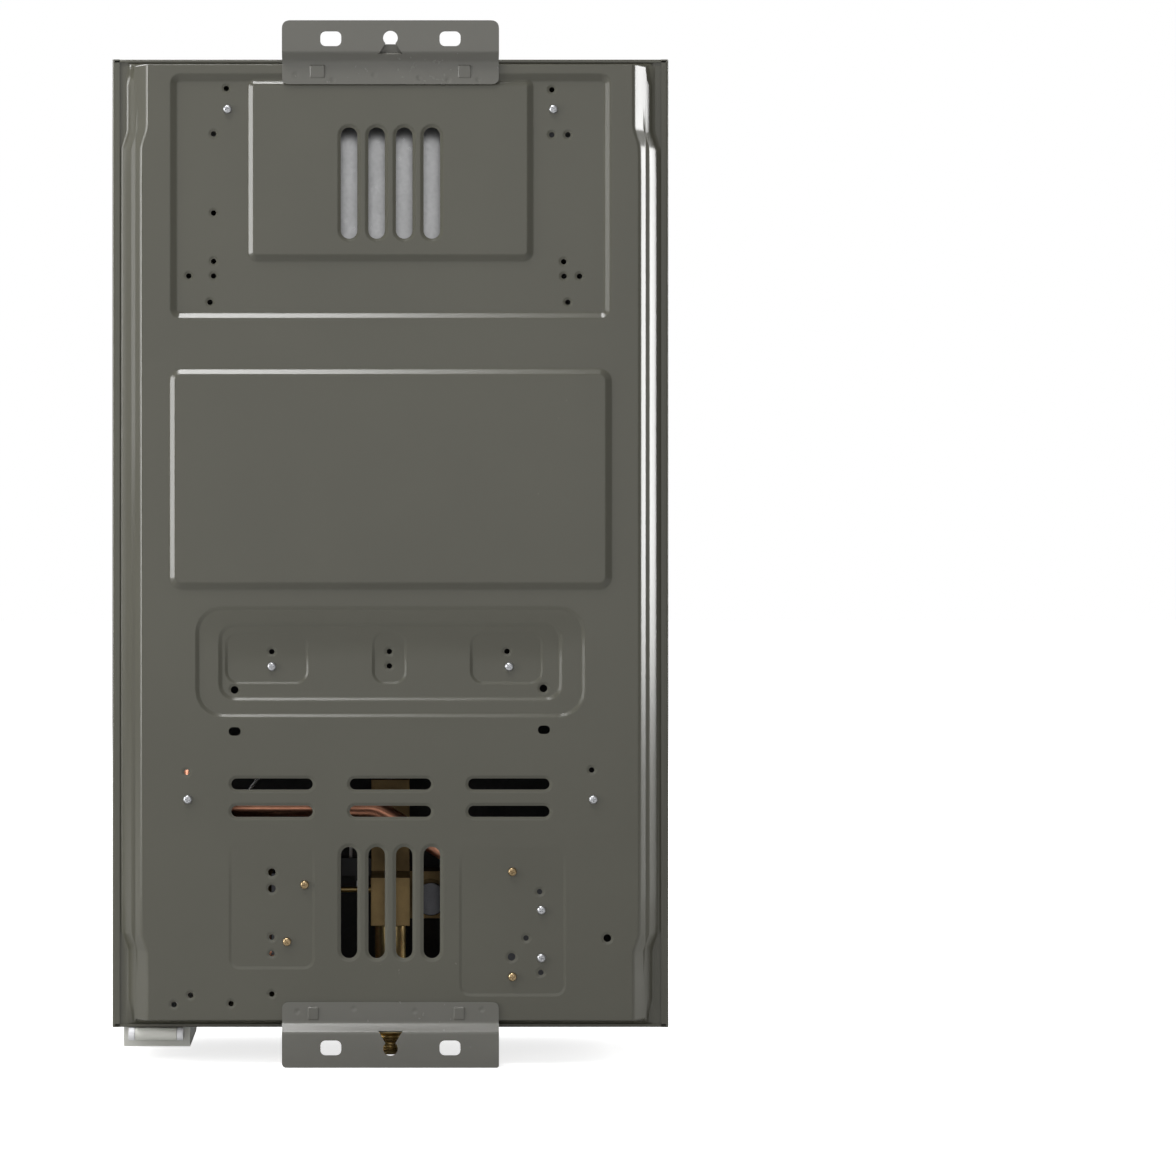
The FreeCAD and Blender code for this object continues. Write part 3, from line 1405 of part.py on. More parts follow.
knob_spots = {"season": (as_size(0), size.season_height), "gas": (-size.knob_offset, size.knob_height),
              "water": (size.knob_offset, size.knob_height)}
boss_span = (valve_face - size.boss_long, valve_face)
bore_span = (valve_face - size.boss_long, spindle_end)
spindle_bore = size.spindle_radius + size.thin_play
block_y = (valve_face, -size.valve_rear)
port = size.port_half
rod_centre = (valve_middle, size.rod_height)


def boss(name):
    """Front boss of a valve and the bore that holds its spindle."""
    spot = knob_spots[name]
    return (rod(name + "_boss", "y", size.boss_radius, boss_span, spot),
            rod(name + "_boss_bore", "y", spindle_bore, bore_span, spot))


gas_boss, gas_bore = boss("gas")
season_boss, season_bore = boss("season")
water_boss, water_bore = boss("water")
gas_block = box("gas_block", (size.gas_valve_left, port), block_y,
                (size.gas_valve_low, size.gas_valve_high))
season_block = box("season_block", (-port, port), block_y, (size.gas_valve_low, size.season_high))
inlet_block = box("inlet_block", (-port, port), (-size.valve_rear, -size.fitting_back + port),
                  (size.gas_valve_low, size.gas_valve_high))
rod_bore = rod("rod_bore", "x", size.rod_radius + size.thin_play,
               (port - size.rod_bore_deep, port), rod_centre)
sub_part("gas_valve",
         cut("gas_valve_cut", fuse("gas_valve_form", gas_block, season_block, inlet_block, gas_boss,
                                   season_boss), gas_bore, season_bore, rod_bore))

housing = rod("water_housing", "x", size.housing_radius, (size.housing_left, size.water_valve_left),
              rod_centre)
chamber_bore = rod("water_chamber", "x", size.housing_radius - size.housing_wall,
                   (size.housing_left, size.housing_left + size.housing_cup), rod_centre)
water_block = box("water_block", (size.water_valve_left, size.water_valve_right), block_y,
                  (size.water_valve_low, size.water_valve_high))
sub_part("water_valve",
         cut("water_valve_cut", fuse("water_valve_form", housing, water_block, water_boss),
             chamber_bore, water_bore))
diaphragm_left = size.housing_left - size.diaphragm_thick
sub_part("diaphragm", rod("membrane", "x", size.housing_radius, (diaphragm_left, size.housing_left),
                          rod_centre))
cover_cup = rod("cover_cup", "x", size.housing_radius - size.housing_wall,
                (size.cover_left + size.cover_wall, diaphragm_left), rod_centre)
cover_bore = rod("cover_bore", "x", size.rod_radius + size.thin_play,
                 (size.cover_left, size.cover_left + size.cover_wall), rod_centre)
sub_part("diaphragm_cover",
         cut("cover", rod("cover_disc", "x", size.housing_radius, (size.cover_left, diaphragm_left),
                          rod_centre), cover_cup, cover_bore))
plate_right = diaphragm_left - size.play
rod_start = port - size.rod_entry
collar_right = size.rod_collar_place + size.rod_collar_thick
sub_part("push_rod",
         fuse("push_rod_form",
              rod("rod_bar", "x", size.rod_radius, (rod_start, plate_right), rod_centre),
              rod("rod_collar", "x", size.rod_collar, (size.rod_collar_place, collar_right),
                  rod_centre),
              rod("rod_plate", "x", size.rod_plate, (plate_right - size.rod_plate_thick, plate_right),
                  rod_centre)))
sub_part("solenoid", rod("solenoid_can", "y", size.solenoid_radius,
                         (-size.valve_rear, -size.valve_rear + size.solenoid_long),
                         (-size.solenoid_side, size.knob_height)))

switch_y = (valve_middle - size.switch_half, valve_middle + size.switch_half)
lever_x = collar_right + size.play + size.lever_thick / 2
lever_z = size.switch_low - size.lever_drop
ear = size.switch_ear
ears = [box(f"switch_ear_{index}", (lever_x - ear, lever_x + ear), span,
            (lever_z - ear, size.switch_low))
        for index, span in enumerate(((switch_y[0], switch_y[0] + ear), (switch_y[1] - ear, switch_y[1])))]
lever_pin = rod("lever_pin", "y", size.lever_pin, switch_y, (lever_x, lever_z))
sub_part("micro_switch",
         fuse("switch", box("switch_case", (port, port + size.switch_long), switch_y,
                            (size.switch_low, size.switch_low + size.switch_tall)), lever_pin, *ears))
lever_y = (switch_y[0] + ear + size.play, switch_y[1] - ear - size.play)
lever_foot = size.rod_height + size.rod_radius + size.play * 2
sub_part("switch_lever",
         cut("lever", fuse("lever_form",
                           rod("lever_knuckle", "y", size.lever_knuckle, lever_y, (lever_x, lever_z)),
                           box("lever_blade", (lever_x - size.lever_thick / 2,
                                               lever_x + size.lever_thick / 2), lever_y,
                               (lever_foot, lever_z))),
             rod("lever_bore", "y", size.lever_pin + size.thin_play, lever_y, (lever_x, lever_z))))

ceramic_top = size.burner_high - size.ceramic_drop
electrodes = []
for index, side in enumerate((-1, 1)):
    spot = (side * size.bar_pitch * ELECTRODE_BARS, -size.burner_front - size.electrode_radius - size.play)
    electrodes.append(rod(f"ceramic_{index}", "z", size.electrode_radius,
                          (size.manifold_height + size.manifold_radius + size.sheet, ceramic_top), spot))
    electrodes.append(rod(f"needle_{index}", "z", size.needle_radius,
                          (ceramic_top, size.burner_high + size.needle_tip), spot))
sub_part("spark_electrodes", group("electrodes", *electrodes))


# ---------------------------------------------------------------- water and gas connections

fitting_spots = {"hot": -size.fitting_offset, "gas": as_size(0), "cold": size.fitting_offset}
fittings = []
for name, x in fitting_spots.items():
    spot = (x, -size.fitting_back)
    high = size.gas_valve_low if name == "gas" else size.fitting_rise
    body = fuse(name + "_fitting_form",
                rod(name + "_thread", "z", size.fitting_radius, (-size.fitting_drop, high), spot),
                hexagon(name + "_flange", "z", size.nut_radius, (-size.nut_tall, as_size(0)), spot))
    fittings.append(cut(name + "_fitting", body,
                        rod(name + "_bore", "z", size.fitting_bore, (-size.fitting_drop, high), spot)))
    fittings.append(cut(name + "_nut",
                        hexagon(name + "_nut_form", "z", size.nut_radius,
                                (size.sheet, size.sheet + size.nut_tall), spot),
                        rod(name + "_nut_bore", "z", size.fitting_radius + size.thin_play,
                            (size.sheet, size.sheet + size.nut_tall), spot)))
sub_part("pipe_fittings", group("fittings", *fittings))

foot = size.fitting_rise - size.pipe_entry
fit_y = -size.fitting_back
cold_route = [point(size.fitting_offset, fit_y, foot), point(size.fitting_offset, fit_y, size.cold_turn),
              point(size.cold_side, valve_middle, size.cold_turn),
              point(size.cold_side, valve_middle, size.water_valve_low)]
sub_part("cold_pipe", tube("cold_run", cold_route, size.pipe_radius, size.pipe_wall, size.loop_bend))
lift_route = [point(size.water_valve_right, inlet_y, size.lift_start),
              point(loop_x, inlet_y, size.lift_start), point(loop_x, inlet_y, loop_low - climb)]
sub_part("riser_pipe", tube("riser_run", lift_route, size.pipe_radius, size.pipe_wall, size.loop_bend))
hot_side = loop_x + size.hot_clear
hot_y = -size.hot_back
hot_route = [point(loop_x, size.hot_start, fin_low), point(loop_x, size.hot_start, fin_low - size.hot_step),
             point(hot_side, size.hot_start + size.hot_step, fin_low - size.hot_lean),
             point(hot_side, hot_y, fin_low - size.hot_turn),
             point(hot_side, hot_y, size.hot_height), point(size.hot_bend_side, hot_y, size.hot_height),
             point(-size.fitting_offset, hot_y, size.hot_height - size.hot_fall),
             point(-size.fitting_offset, fit_y, size.hot_height - size.hot_bottom),
             point(-size.fitting_offset, fit_y, foot)]
sub_part("hot_pipe", tube("hot_run", hot_route, size.pipe_radius, size.pipe_wall, size.loop_bend))

drain_spot = (size.drain_side, -size.drain_back)
tube_span = (-size.drain_reach, size.water_valve_low)
sub_part("drain_tube", cut("drain", rod("drain_outside", "z", size.drain_radius, tube_span, drain_spot),
                           rod("drain_inside", "z", size.drain_bore, tube_span, drain_spot)))
plug_high = -size.drain_reach
sub_part("drain_plug",
         fuse("plug", rod("plug_head", "z", size.drain_radius, (plug_high - size.plug_tall, plug_high),
                          drain_spot),
              rod("plug_shank", "z", size.drain_bore - size.thin_play * 2,
                  (plug_high, plug_high + size.plug_tall), drain_spot)))


# ---------------------------------------------------------------- electrics

tray_rear = -size.tray_back
tray_front = tray_rear - size.tray_thick
board_x = (half_width - size.board_inset, half_width - size.board_inset + size.board_long)
tray = box("tray_plate", (board_x[0] - size.tray_edge, board_x[1] + size.tray_edge),
           (tray_front, tray_rear), (size.tray_low, size.board_high + size.tray_edge))
mast_half = size.mast_half
mast_x, mast_z = SILVER_SCREWS[2]
mast = box("tray_mast", (mast_x - mast_half, mast_x + mast_half), (tray_front, tray_rear),
           (size.tray_low, mast_z + mast_half))
mast_boss = rod("tray_boss", "y", mast_half - size.sheet, (tray_rear, inner_pan), (mast_x, mast_z))
board_back = tray_front - size.board_gap
peg_x = (board_x[0] + size.tray_edge, board_x[1] - size.tray_edge)
peg_z = (size.board_low + size.tray_edge, size.board_high - size.tray_edge)
pegs = [rod(f"tray_peg_{index}", "y", size.peg_radius, (board_back, tray_front),
            (peg_x[index % 2], peg_z[index // 2])) for index in range(4)]
sub_part("board_tray", cut("tray_cut", fuse("tray_form", tray, mast, mast_boss, *pegs),
                           rod("tray_screw_hole", "y", size.screw_radius + size.thin_play,
                               (inner_pan - size.screw_reach, inner_pan), (mast_x, mast_z))))
board_front = board_back - size.board_thick
sub_part("control_board", box("board", board_x, (board_front, board_back),
                              (size.board_low, size.board_high)))
can_x = board_x[1] - size.can_side
can_spots = [(can_x, size.can_high), (can_x - size.can_step, size.can_high), (can_x, size.can_low)]
cans = [rod(f"capacitor_{index}", "y", size.can_radius, (board_front - size.can_long, board_front), spot)
        for index, spot in enumerate(can_spots)]
coil_low = size.board_low + size.coil_lift
cans.append(box("coil_block", (board_x[0] + size.coil_side, board_x[0] + size.coil_side + size.coil_long),
                (board_front - size.coil_deep, board_front), (coil_low, coil_low + size.coil_tall)))
sub_part("board_components", group("components", *cans))

switch_top = size.switch_low + size.switch_tall
solder = board_front - size.joint_rise
spark_x = size.bar_pitch * ELECTRODE_BARS
spark_y = -size.burner_front - 2 * size.electrode_radius - size.play
joint_high = size.board_high - size.joint_rise
coil_x, switch_x = board_x[0] + size.lead_coil, port + size.lead_switch
cell_x, cell_y = tube_x - size.lead_cell, -size.lead_cell_back
cell_board = cell_x - size.joint_rise
spark_lead = [point(coil_x, board_front, joint_high), point(coil_x, solder, joint_high),
              *[point(*spot) for spot in SPARK_ROUTE],
              point(spark_x, spark_y - size.joint_rise, size.lead_spark),
              point(spark_x, spark_y, size.lead_spark)]
switch_lead = [point(switch_x, valve_middle, switch_top),
               point(switch_x, valve_middle, switch_top + size.lead_coil),
               *[point(*spot) for spot in SWITCH_ROUTE],
               point(board_x[0] + size.joint_rise, solder, joint_high),
               point(board_x[0] + size.joint_rise, board_front, joint_high)]
cell_lead = [point(cell_x, cell_y, size.box_high), point(cell_x, cell_y, size.box_high + size.lead_cell),
             *[point(*spot) for spot in CELL_ROUTE], point(cell_board, solder, size.can_low),
             point(cell_board, board_front, size.can_low)]
wires = [piped(route, size.lead_radius, size.lead_bend) for route in (spark_lead, switch_lead, cell_lead)]
sub_part("wire_leads", solid_of("leads", Part.makeCompound(wires)))


# ---------------------------------------------------------------- brackets and screws

def pan_face(x, z):
    """Outer plane of the pan at a place, moved by the pressings around it."""
    in_step = float(size.burner_step_low) < float(z) < float(size.burner_step_high)
    if in_step and abs(x) < float(size.burner_step_half):
        return pan_plane - 2 * size.step_depth
    in_flue = float(below(size.flue_press_foot_drop)) < float(z) < float(below(size.flue_press_drop))
    if in_flue and float(size.flue_island_half) < abs(x) < float(size.flue_press_half):
        return pan_plane - size.press_depth
    return pan_plane


def screws(name, spots):
    """Pan-head screws on the back of the pan."""
    items = []
    for index, (x, z) in enumerate(spots):
        face = pan_face(x, z)
        shank = rod(f"{name}_shank_{index}", "y", size.screw_radius, (face - size.screw_reach, face),
                    (x, z))
        head = cone(f"{name}_head_{index}", "y", size.screw_head, size.screw_crown,
                    (face, face + size.screw_head_rise), (x, z))
        items.append(fuse(f"{name}_{index}", shank, head))
    return group(name, *items)


bracket_rear = inner_pan
bracket_front = bracket_rear - size.bracket_sheet
gas_bracket_x = (-size.gas_bracket_far, -size.gas_bracket_near)
gas_bracket = fuse("gas_bracket",
                   box("gas_bracket_plate", gas_bracket_x, (bracket_front, bracket_rear),
                       (size.gas_plate_low, size.gas_plate_high)),
                   box("gas_bracket_web", gas_bracket_x, (valve_face, bracket_rear),
                       (size.gas_valve_low - size.bracket_sheet, size.gas_valve_low)))
water_web = (size.water_valve_high, size.water_valve_high + size.bracket_sheet)
water_bracket = fuse("water_bracket",
                     box("water_bracket_plate", (size.water_plate_left, size.water_plate_right),
                         (bracket_front, bracket_rear), (size.water_plate_low, water_web[1])),
                     box("water_bracket_web",
                         (size.water_valve_left + size.web_inset, size.water_plate_right),
                         (valve_middle, bracket_rear), water_web))
bracket_holes = [rod(f"bracket_hole_{index}", "y", size.screw_radius + size.thin_play,
                     (bracket_front, bracket_rear), (x, z))
                 for index, (x, z) in enumerate(SILVER_SCREWS[4:6] + BRASS_SCREWS)]
sub_part("valve_brackets", cut("valve_supports", group("valve_plates", gas_bracket, water_bracket),
                               *bracket_holes))
sub_part("silver_screws", screws("silver", silver_spots))
sub_part("brass_screws", screws("brass", BRASS_SCREWS))


# ---------------------------------------------------------------- checks and files

doc.recompute()
for item in doc.Objects:
    if {"Invalid", "Error"} & set(item.State):
        raise RuntimeError(f"{item.Label} failed: {item.State}")
os.makedirs("parts", exist_ok=True)
for item in sub_parts:
    if item.Shape.isNull() or not item.Shape.isValid():
        raise RuntimeError(f"{item.Label} has no valid shape")
    item.Shape.exportStep(f"parts/{item.Label}.step")
    print(item.Label, len(item.Shape.Solids), "solids", round(item.Shape.Volume / 1000, 2), "cm3")
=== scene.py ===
"""Dresses the frame of a wall-hung gas water heater.

Lengths are in millimetres and heights count from the bottom of the casing, as on a maker's drawing.
Draft and Tree turn them into the frame's metres, whose origin lies at the slots of the top hanger.
"""
import json
import logging
import math
from collections.abc import Callable, Iterable, Sequence
from dataclasses import dataclass, field
from enum import Enum
from functools import cache
from typing import Any

import bmesh
import bpy
import numpy as np
from mathutils import Matrix, Vector
from mathutils.geometry import delaunay_2d_cdt

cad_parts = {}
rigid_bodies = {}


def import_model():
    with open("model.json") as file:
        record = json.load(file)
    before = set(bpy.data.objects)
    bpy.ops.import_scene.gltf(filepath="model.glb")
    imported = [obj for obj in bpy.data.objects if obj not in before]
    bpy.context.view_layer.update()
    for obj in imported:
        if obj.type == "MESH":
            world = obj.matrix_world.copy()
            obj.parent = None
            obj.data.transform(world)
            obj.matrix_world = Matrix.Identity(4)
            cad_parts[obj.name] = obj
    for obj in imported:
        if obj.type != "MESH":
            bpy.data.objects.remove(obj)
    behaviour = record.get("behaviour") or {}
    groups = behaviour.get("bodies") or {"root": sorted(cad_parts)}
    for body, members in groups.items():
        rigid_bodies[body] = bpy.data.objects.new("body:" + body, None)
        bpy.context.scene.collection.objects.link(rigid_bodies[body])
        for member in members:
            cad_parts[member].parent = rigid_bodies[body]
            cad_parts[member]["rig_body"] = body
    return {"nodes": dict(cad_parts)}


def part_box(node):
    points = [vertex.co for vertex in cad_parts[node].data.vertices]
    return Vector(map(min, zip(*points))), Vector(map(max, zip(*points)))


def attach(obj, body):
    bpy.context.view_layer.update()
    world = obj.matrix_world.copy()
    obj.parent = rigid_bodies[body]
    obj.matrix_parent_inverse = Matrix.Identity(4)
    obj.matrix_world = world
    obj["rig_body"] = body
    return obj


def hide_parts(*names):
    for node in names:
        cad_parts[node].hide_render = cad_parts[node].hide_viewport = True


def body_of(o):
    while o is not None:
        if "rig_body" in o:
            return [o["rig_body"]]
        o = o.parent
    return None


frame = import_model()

logging.basicConfig(level=logging.INFO, format="%(message)s")
log = logging.getLogger("heater")
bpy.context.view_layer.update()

Point2 = tuple[float, float]
Point3 = tuple[float, float, float]
Colour = tuple[float, float, float]
Socket = bpy.types.NodeSocket

HANG_HEIGHT = 650.0
TO_FRAME = Matrix.Scale(0.001, 4) @ Matrix.Translation((0.0, 0.0, -HANG_HEIGHT))

CASING_HEIGHT = 640.0
HALF_WIDTH = 184.0
PAN_PLANE = -7.0
REAR_PLANE = -24.0
FRONT_PLANE = -134.0
DOOR_PLANE = -135.2
FACE_PLANE = -159.7

SIGHT_PLACE = (0.0, 300.0)
SEASON_PLACE = (0.0, 142.0)
GAS_PLACE = (-90.0, 82.0)
WATER_PLACE = (90.0, 82.0)
FITTING_COLUMNS = (-57.0, 0.0, 57.0)
FITTING_ROW = -45.0
DRAIN_PLACE = (68.0, -96.0)
FINE_RELIEF = 0.0001


class Body(str, Enum):
    """Moving bodies that a piece can ride on."""

    HEATER = "heater"
    SEASON = "season_control"
    GAS = "gas_control"
    WATER = "water_control"
    LID = "battery_lid"
    ROD = "valve_rod"
    ARM = "switch_arm"
    DRAIN = "drain_screw"


class Axis(Enum):
    """Directions that round and straight forms run along."""

    X = 0
    Y = 1
    Z = 2

    def point(self, along: float, first: float, second: float) -> Vector:
        """Point at a distance along the axis and at two offsets across it, in x, y, z order."""
        spot = [first, second]
        spot.insert(self.value, along)
        return Vector(spot)


def srgb(red: int, green: int, blue: int) -> Colour:
    """Linear colour of three screen values from 0 to 255."""

    def linear(level: int) -> float:
        """Linear share of one screen value."""
        share = level / 255
        return share / 12.92 if share <= 0.04045 else ((share + 0.055) / 1.055) ** 2.4

    return linear(red), linear(green), linear(blue)


def tinted(colour: Colour, factor: float) -> Colour:
    """The colour made lighter or darker by a factor."""
    return tuple(min(1.0, channel * factor) for channel in colour)


# ---------------- nodes

class Graph:
    """Node tree whose nodes all come from one method."""

    def __init__(self, tree: bpy.types.NodeTree) -> None:
        """Wraps a node tree."""
        self.tree = tree

    def node(self, kind: str, settings: dict[str, Any] | None = None,
             sockets: dict[str | int, Any] | None = None) -> bpy.types.Node:
        """Adds a node.

        Args:
            kind: The node's type.
            settings: Its properties, set first; "stops" holds a ramp's places and colours.
            sockets: Values or links of its inputs, by name or by number.

        Returns:
            The new node.
        """
        made = self.tree.nodes.new(kind)
        for name, value in (settings or {}).items():
            if name == "stops":
                elements = made.color_ramp.elements
                while len(elements) < len(value):
                    elements.new(0.5)
                for element, (place, colour) in zip(elements, value):
                    element.position = place
                    element.color = (*colour, 1.0)
            else:
                setattr(made, name, value)
        for name, value in (sockets or {}).items():
            self.put(made.inputs[name], value)
        return made

    def put(self, socket: Socket, value: Any) -> None:
        """Links a socket to a field or another socket, or sets its value."""
        if isinstance(value, Field):
            self.tree.links.new(value.socket, socket)
        elif isinstance(value, Socket):
            self.tree.links.new(value, socket)
        elif socket.type == "RGBA" and len(value) == 3:
            socket.default_value = (*value, 1.0)
        else:
            socket.default_value = value


class Field:
    """Number that a shader works out at each point of a surface."""

    def __init__(self, graph: Graph, socket: Socket) -> None:
        """Wraps an output socket."""
        self.graph = graph
        self.socket = socket

    def _math(self, operation: str, *values: Any) -> "Field":
        """Result of one Math node."""
        node = self.graph.node("ShaderNodeMath", {"operation": operation}, dict(enumerate(values)))
        return Field(self.graph, node.outputs[0])

    def __add__(self, other: Any) -> "Field":
        """Sum."""
        return self._math("ADD", self, other)

    def __radd__(self, other: Any) -> "Field":
        """Reflected sum."""
        return self._math("ADD", other, self)

    def __sub__(self, other: Any) -> "Field":
        """Difference."""
        return self._math("SUBTRACT", self, other)

    def __rsub__(self, other: Any) -> "Field":
        """Reflected difference."""
        return self._math("SUBTRACT", other, self)

    def __mul__(self, other: Any) -> "Field":
        """Product."""
        return self._math("MULTIPLY", self, other)

    def __rmul__(self, other: Any) -> "Field":
        """Reflected product."""
        return self._math("MULTIPLY", other, self)

    def wrapped(self, pitch: float) -> "Field":
        """Place within the last whole step of a pitch."""
        return self._math("FLOORED_MODULO", self, pitch)

    def above(self, limit: float) -> "Field":
        """One where the number is over a limit, nothing elsewhere."""
        return self._math("GREATER_THAN", self, limit)

    def between(self, low: float, high: float) -> "Field":
        """One between two limits, nothing elsewhere."""
        return self.above(low) * (1 - self.above(high))

    def eased(self, low: float, high: float) -> "Field":
        """Share of the way from a low to a high number, held between nothing and one."""
        sockets = {"Value": self, "From Min": low, "From Max": high}
        node = self.graph.node("ShaderNodeMapRange", {"clamp": True}, sockets)
        return Field(self.graph, node.outputs[0])


class Shader(Graph):
    """Material's node tree with the patterns that the finishes share."""

    def __init__(self, material: bpy.types.Material) -> None:
        """Empties the material's tree and gives it a shader and an output."""
        super().__init__(material.node_tree)
        self.tree.nodes.clear()
        self.surface = self.node("ShaderNodeBsdfPrincipled")
        self.node("ShaderNodeOutputMaterial", None, {"Surface": self.surface.outputs[0]})
        self.place = self.node("ShaderNodeTexCoord").outputs["Object"]

    def stretched(self, scale: Point3) -> Socket:
        """Object coordinates with their own scale along each axis."""
        node = self.node("ShaderNodeMapping", None, {"Vector": self.place, "Scale": scale})
        return node.outputs[0]

    def coordinate(self, axis: Axis) -> Field:
        """One of the object coordinates, in metres."""
        node = self.node("ShaderNodeSeparateXYZ", None, {0: self.place})
        return Field(self, node.outputs[axis.value])

    def noise(self, scale: float, detail: float = 3.0, along: Socket | None = None) -> Field:
        """Cloudy pattern between nothing and one."""
        sockets = {"Vector": along or self.place, "Scale": scale, "Detail": detail}
        return Field(self, self.node("ShaderNodeTexNoise", None, sockets).outputs[0])

    def cells(self, scale: float) -> tuple[Field, Socket]:
        """Cell pattern: distance to the nearest centre, and a colour for each cell."""
        node = self.node("ShaderNodeTexVoronoi", None, {"Vector": self.place, "Scale": scale})
        return Field(self, node.outputs[0]), node.outputs["Color"]

    def tone(self, colour: Socket) -> Field:
        """Red part of a colour, as a number."""
        return Field(self, self.node("ShaderNodeSeparateColor", None, {0: colour}).outputs[0])

    def mixed(self, share: Any, first: Any, second: Any) -> Socket:
        """Colour between two colours."""
        settings = {"data_type": "RGBA", "clamp_factor": True}
        return self.node("ShaderNodeMix", settings, {0: share, 6: first, 7: second}).outputs[2]

    def mottled(self, cloud: Field, colour: Colour, dark: float, light: float) -> Socket:
        """Colour that drifts between a darker and a lighter tint with a cloudy pattern."""
        return self.mixed(cloud.eased(0.3, 0.7), tinted(colour, dark), tinted(colour, light))

    def relief(self, height: Field, strength: float, depth: float = FINE_RELIEF) -> Socket:
        """Normal of a fine relief."""
        sockets = {"Height": height, "Strength": strength, "Distance": depth}
        return self.node("ShaderNodeBump", None, sockets).outputs[0]

    def dress(self, sockets: dict[str, Any]) -> None:
        """Sets inputs of the surface shader."""
        for name, value in sockets.items():
            self.put(self.surface.inputs[name], value)


# ---------------- finishes

@dataclass(frozen=True)
class Finish:
    """Base of every finish: a named material, which keeps the name of one of the record's slots beside it."""

    name: str
    slot: str

    @cache
    def material(self) -> bpy.types.Material:
        """The finish's material, made once."""
        made = bpy.data.materials.new(f"{self.name}_finish")
        made.use_nodes = True
        self.paint(Shader(made))
        return made

    def paint(self, shader: Shader) -> None:
        """Builds the finish's nodes."""
        raise NotImplementedError


@dataclass(frozen=True)
class SheetPaint(Finish):
    """Semi-gloss stoved paint on pressed steel: a faint orange peel, cloudy sheen and a little dust."""

    colour: Colour
    gloss: float = 0.36
    cloud_scale: float = 7.0
    peel_scale: float = 620.0
    peel_depth: float = 0.00005
    dust_scale: float = 260.0
    drift_scale: float = 14.0

    def paint(self, shader: Shader) -> None:
        """Builds the finish's nodes."""
        cloud = shader.noise(self.cloud_scale, 4.0)
        peel = shader.noise(self.peel_scale, 2.0)
        specks = shader.noise(self.dust_scale, 6.0).eased(0.64, 0.74)
        dust = specks * shader.noise(self.drift_scale, 2.0).eased(0.45, 0.7)
        toned = shader.mottled(cloud, self.colour, 0.95, 1.05)
        shader.dress({
            "Base Color": shader.mixed(dust * 0.03, toned, tinted(self.colour, 1.8)),
            "Roughness": self.gloss + cloud * 0.05 + dust * 0.03,
            "Specular IOR Level": 0.6,
            "Normal": shader.relief(peel, 0.05, self.peel_depth),
        })


@dataclass(frozen=True)
class Metal(Finish):
    """Bare metal: a base colour, a tarnish that gathers in clouds, and a grain with its own direction."""

    colour: Colour
    tarnish: Colour
    worn: float = 0.3
    rough: float = 0.3
    grain_scale: float = 500.0
    depth: float = 0.12
    spangle: float = 0.0
    grain: Point3 = (1.0, 1.0, 1.0)
    cloud_scale: float = 38.0
    spangle_scale: float = 110.0

    def paint(self, shader: Shader) -> None:
        """Builds the finish's nodes."""
        grain = shader.noise(self.grain_scale, 3.0, shader.stretched(self.grain))
        cloud = shader.noise(self.cloud_scale, 5.0)
        mask = cloud.eased(0.62 - self.worn * 0.5, 0.75)
        colour = shader.mixed(mask * min(1.0, self.worn * 2), self.colour, self.tarnish)
        colour = shader.mixed(grain.eased(0.35, 0.75) * 0.25, colour, tinted(self.colour, 0.72))
        rough = self.rough - 0.06 + grain * 0.14 + mask * min(0.12, self.worn * 0.4)
        if self.spangle > 0:
            distance, shade = shader.cells(self.spangle_scale)
            flake = shader.tone(shade) * self.spangle
            colour = shader.mixed(flake, colour, tinted(self.colour, 0.6))
            rough = rough + flake * 0.3 - distance * 0.02
        shader.dress({
            "Base Color": colour, "Roughness": rough, "Metallic": 1.0,
            "Normal": shader.relief(grain, self.depth),
        })


@dataclass(frozen=True)
class Moulding(Finish):
    """Moulded plastic, rubber or ceramic: a fine spark-eroded grain, soft mottling and faint scuffs."""

    colour: Colour
    rough: float = 0.45
    grain: float = 0.12
    grain_scale: float = 1400.0
    glow: float = 0.0
    glow_reach: float = 0.004
    cloud_scale: float = 45.0
    scuff_scale: float = 90.0

    def paint(self, shader: Shader) -> None:
        """Builds the finish's nodes."""
        grain = shader.noise(self.grain_scale, 2.0)
        cloud = shader.noise(self.cloud_scale, 4.0)
        scuff = shader.noise(self.scuff_scale, 6.0, shader.stretched((1.0, 6.0, 1.0))).eased(0.66, 0.76)
        toned = shader.mottled(cloud, self.colour, 0.93, 1.04)
        shader.dress({
            "Base Color": shader.mixed(scuff * 0.15, toned, tinted(self.colour, 1.35)),
            "Roughness": self.rough + cloud * 0.08 + scuff * 0.1,
            "Subsurface Weight": self.glow, "Subsurface Radius": (self.glow_reach,) * 3,
            "Normal": shader.relief(grain, self.grain),
        })


@dataclass(frozen=True)
class Glazing(Finish):
    """Glass or a smoked window: a coloured pane with fine dust and faint wipe marks."""

    colour: Colour
    clear: float
    index: float = 1.5
    wipe_scale: float = 60.0
    dust_scale: float = 900.0

    def paint(self, shader: Shader) -> None:
        """Builds the finish's nodes."""
        wipe = shader.noise(self.wipe_scale, 5.0, shader.stretched((1.0, 1.0, 5.0)))
        dust = shader.noise(self.dust_scale, 4.0).eased(0.66, 0.75)
        shader.dress({
            "Base Color": shader.mixed(dust * 0.25, self.colour, tinted(self.colour, 1.6)),
            "Roughness": 0.04 + wipe.eased(0.5, 0.8) * 0.08 + dust * 0.2,
            "Transmission Weight": self.clear, "IOR": self.index,
        })


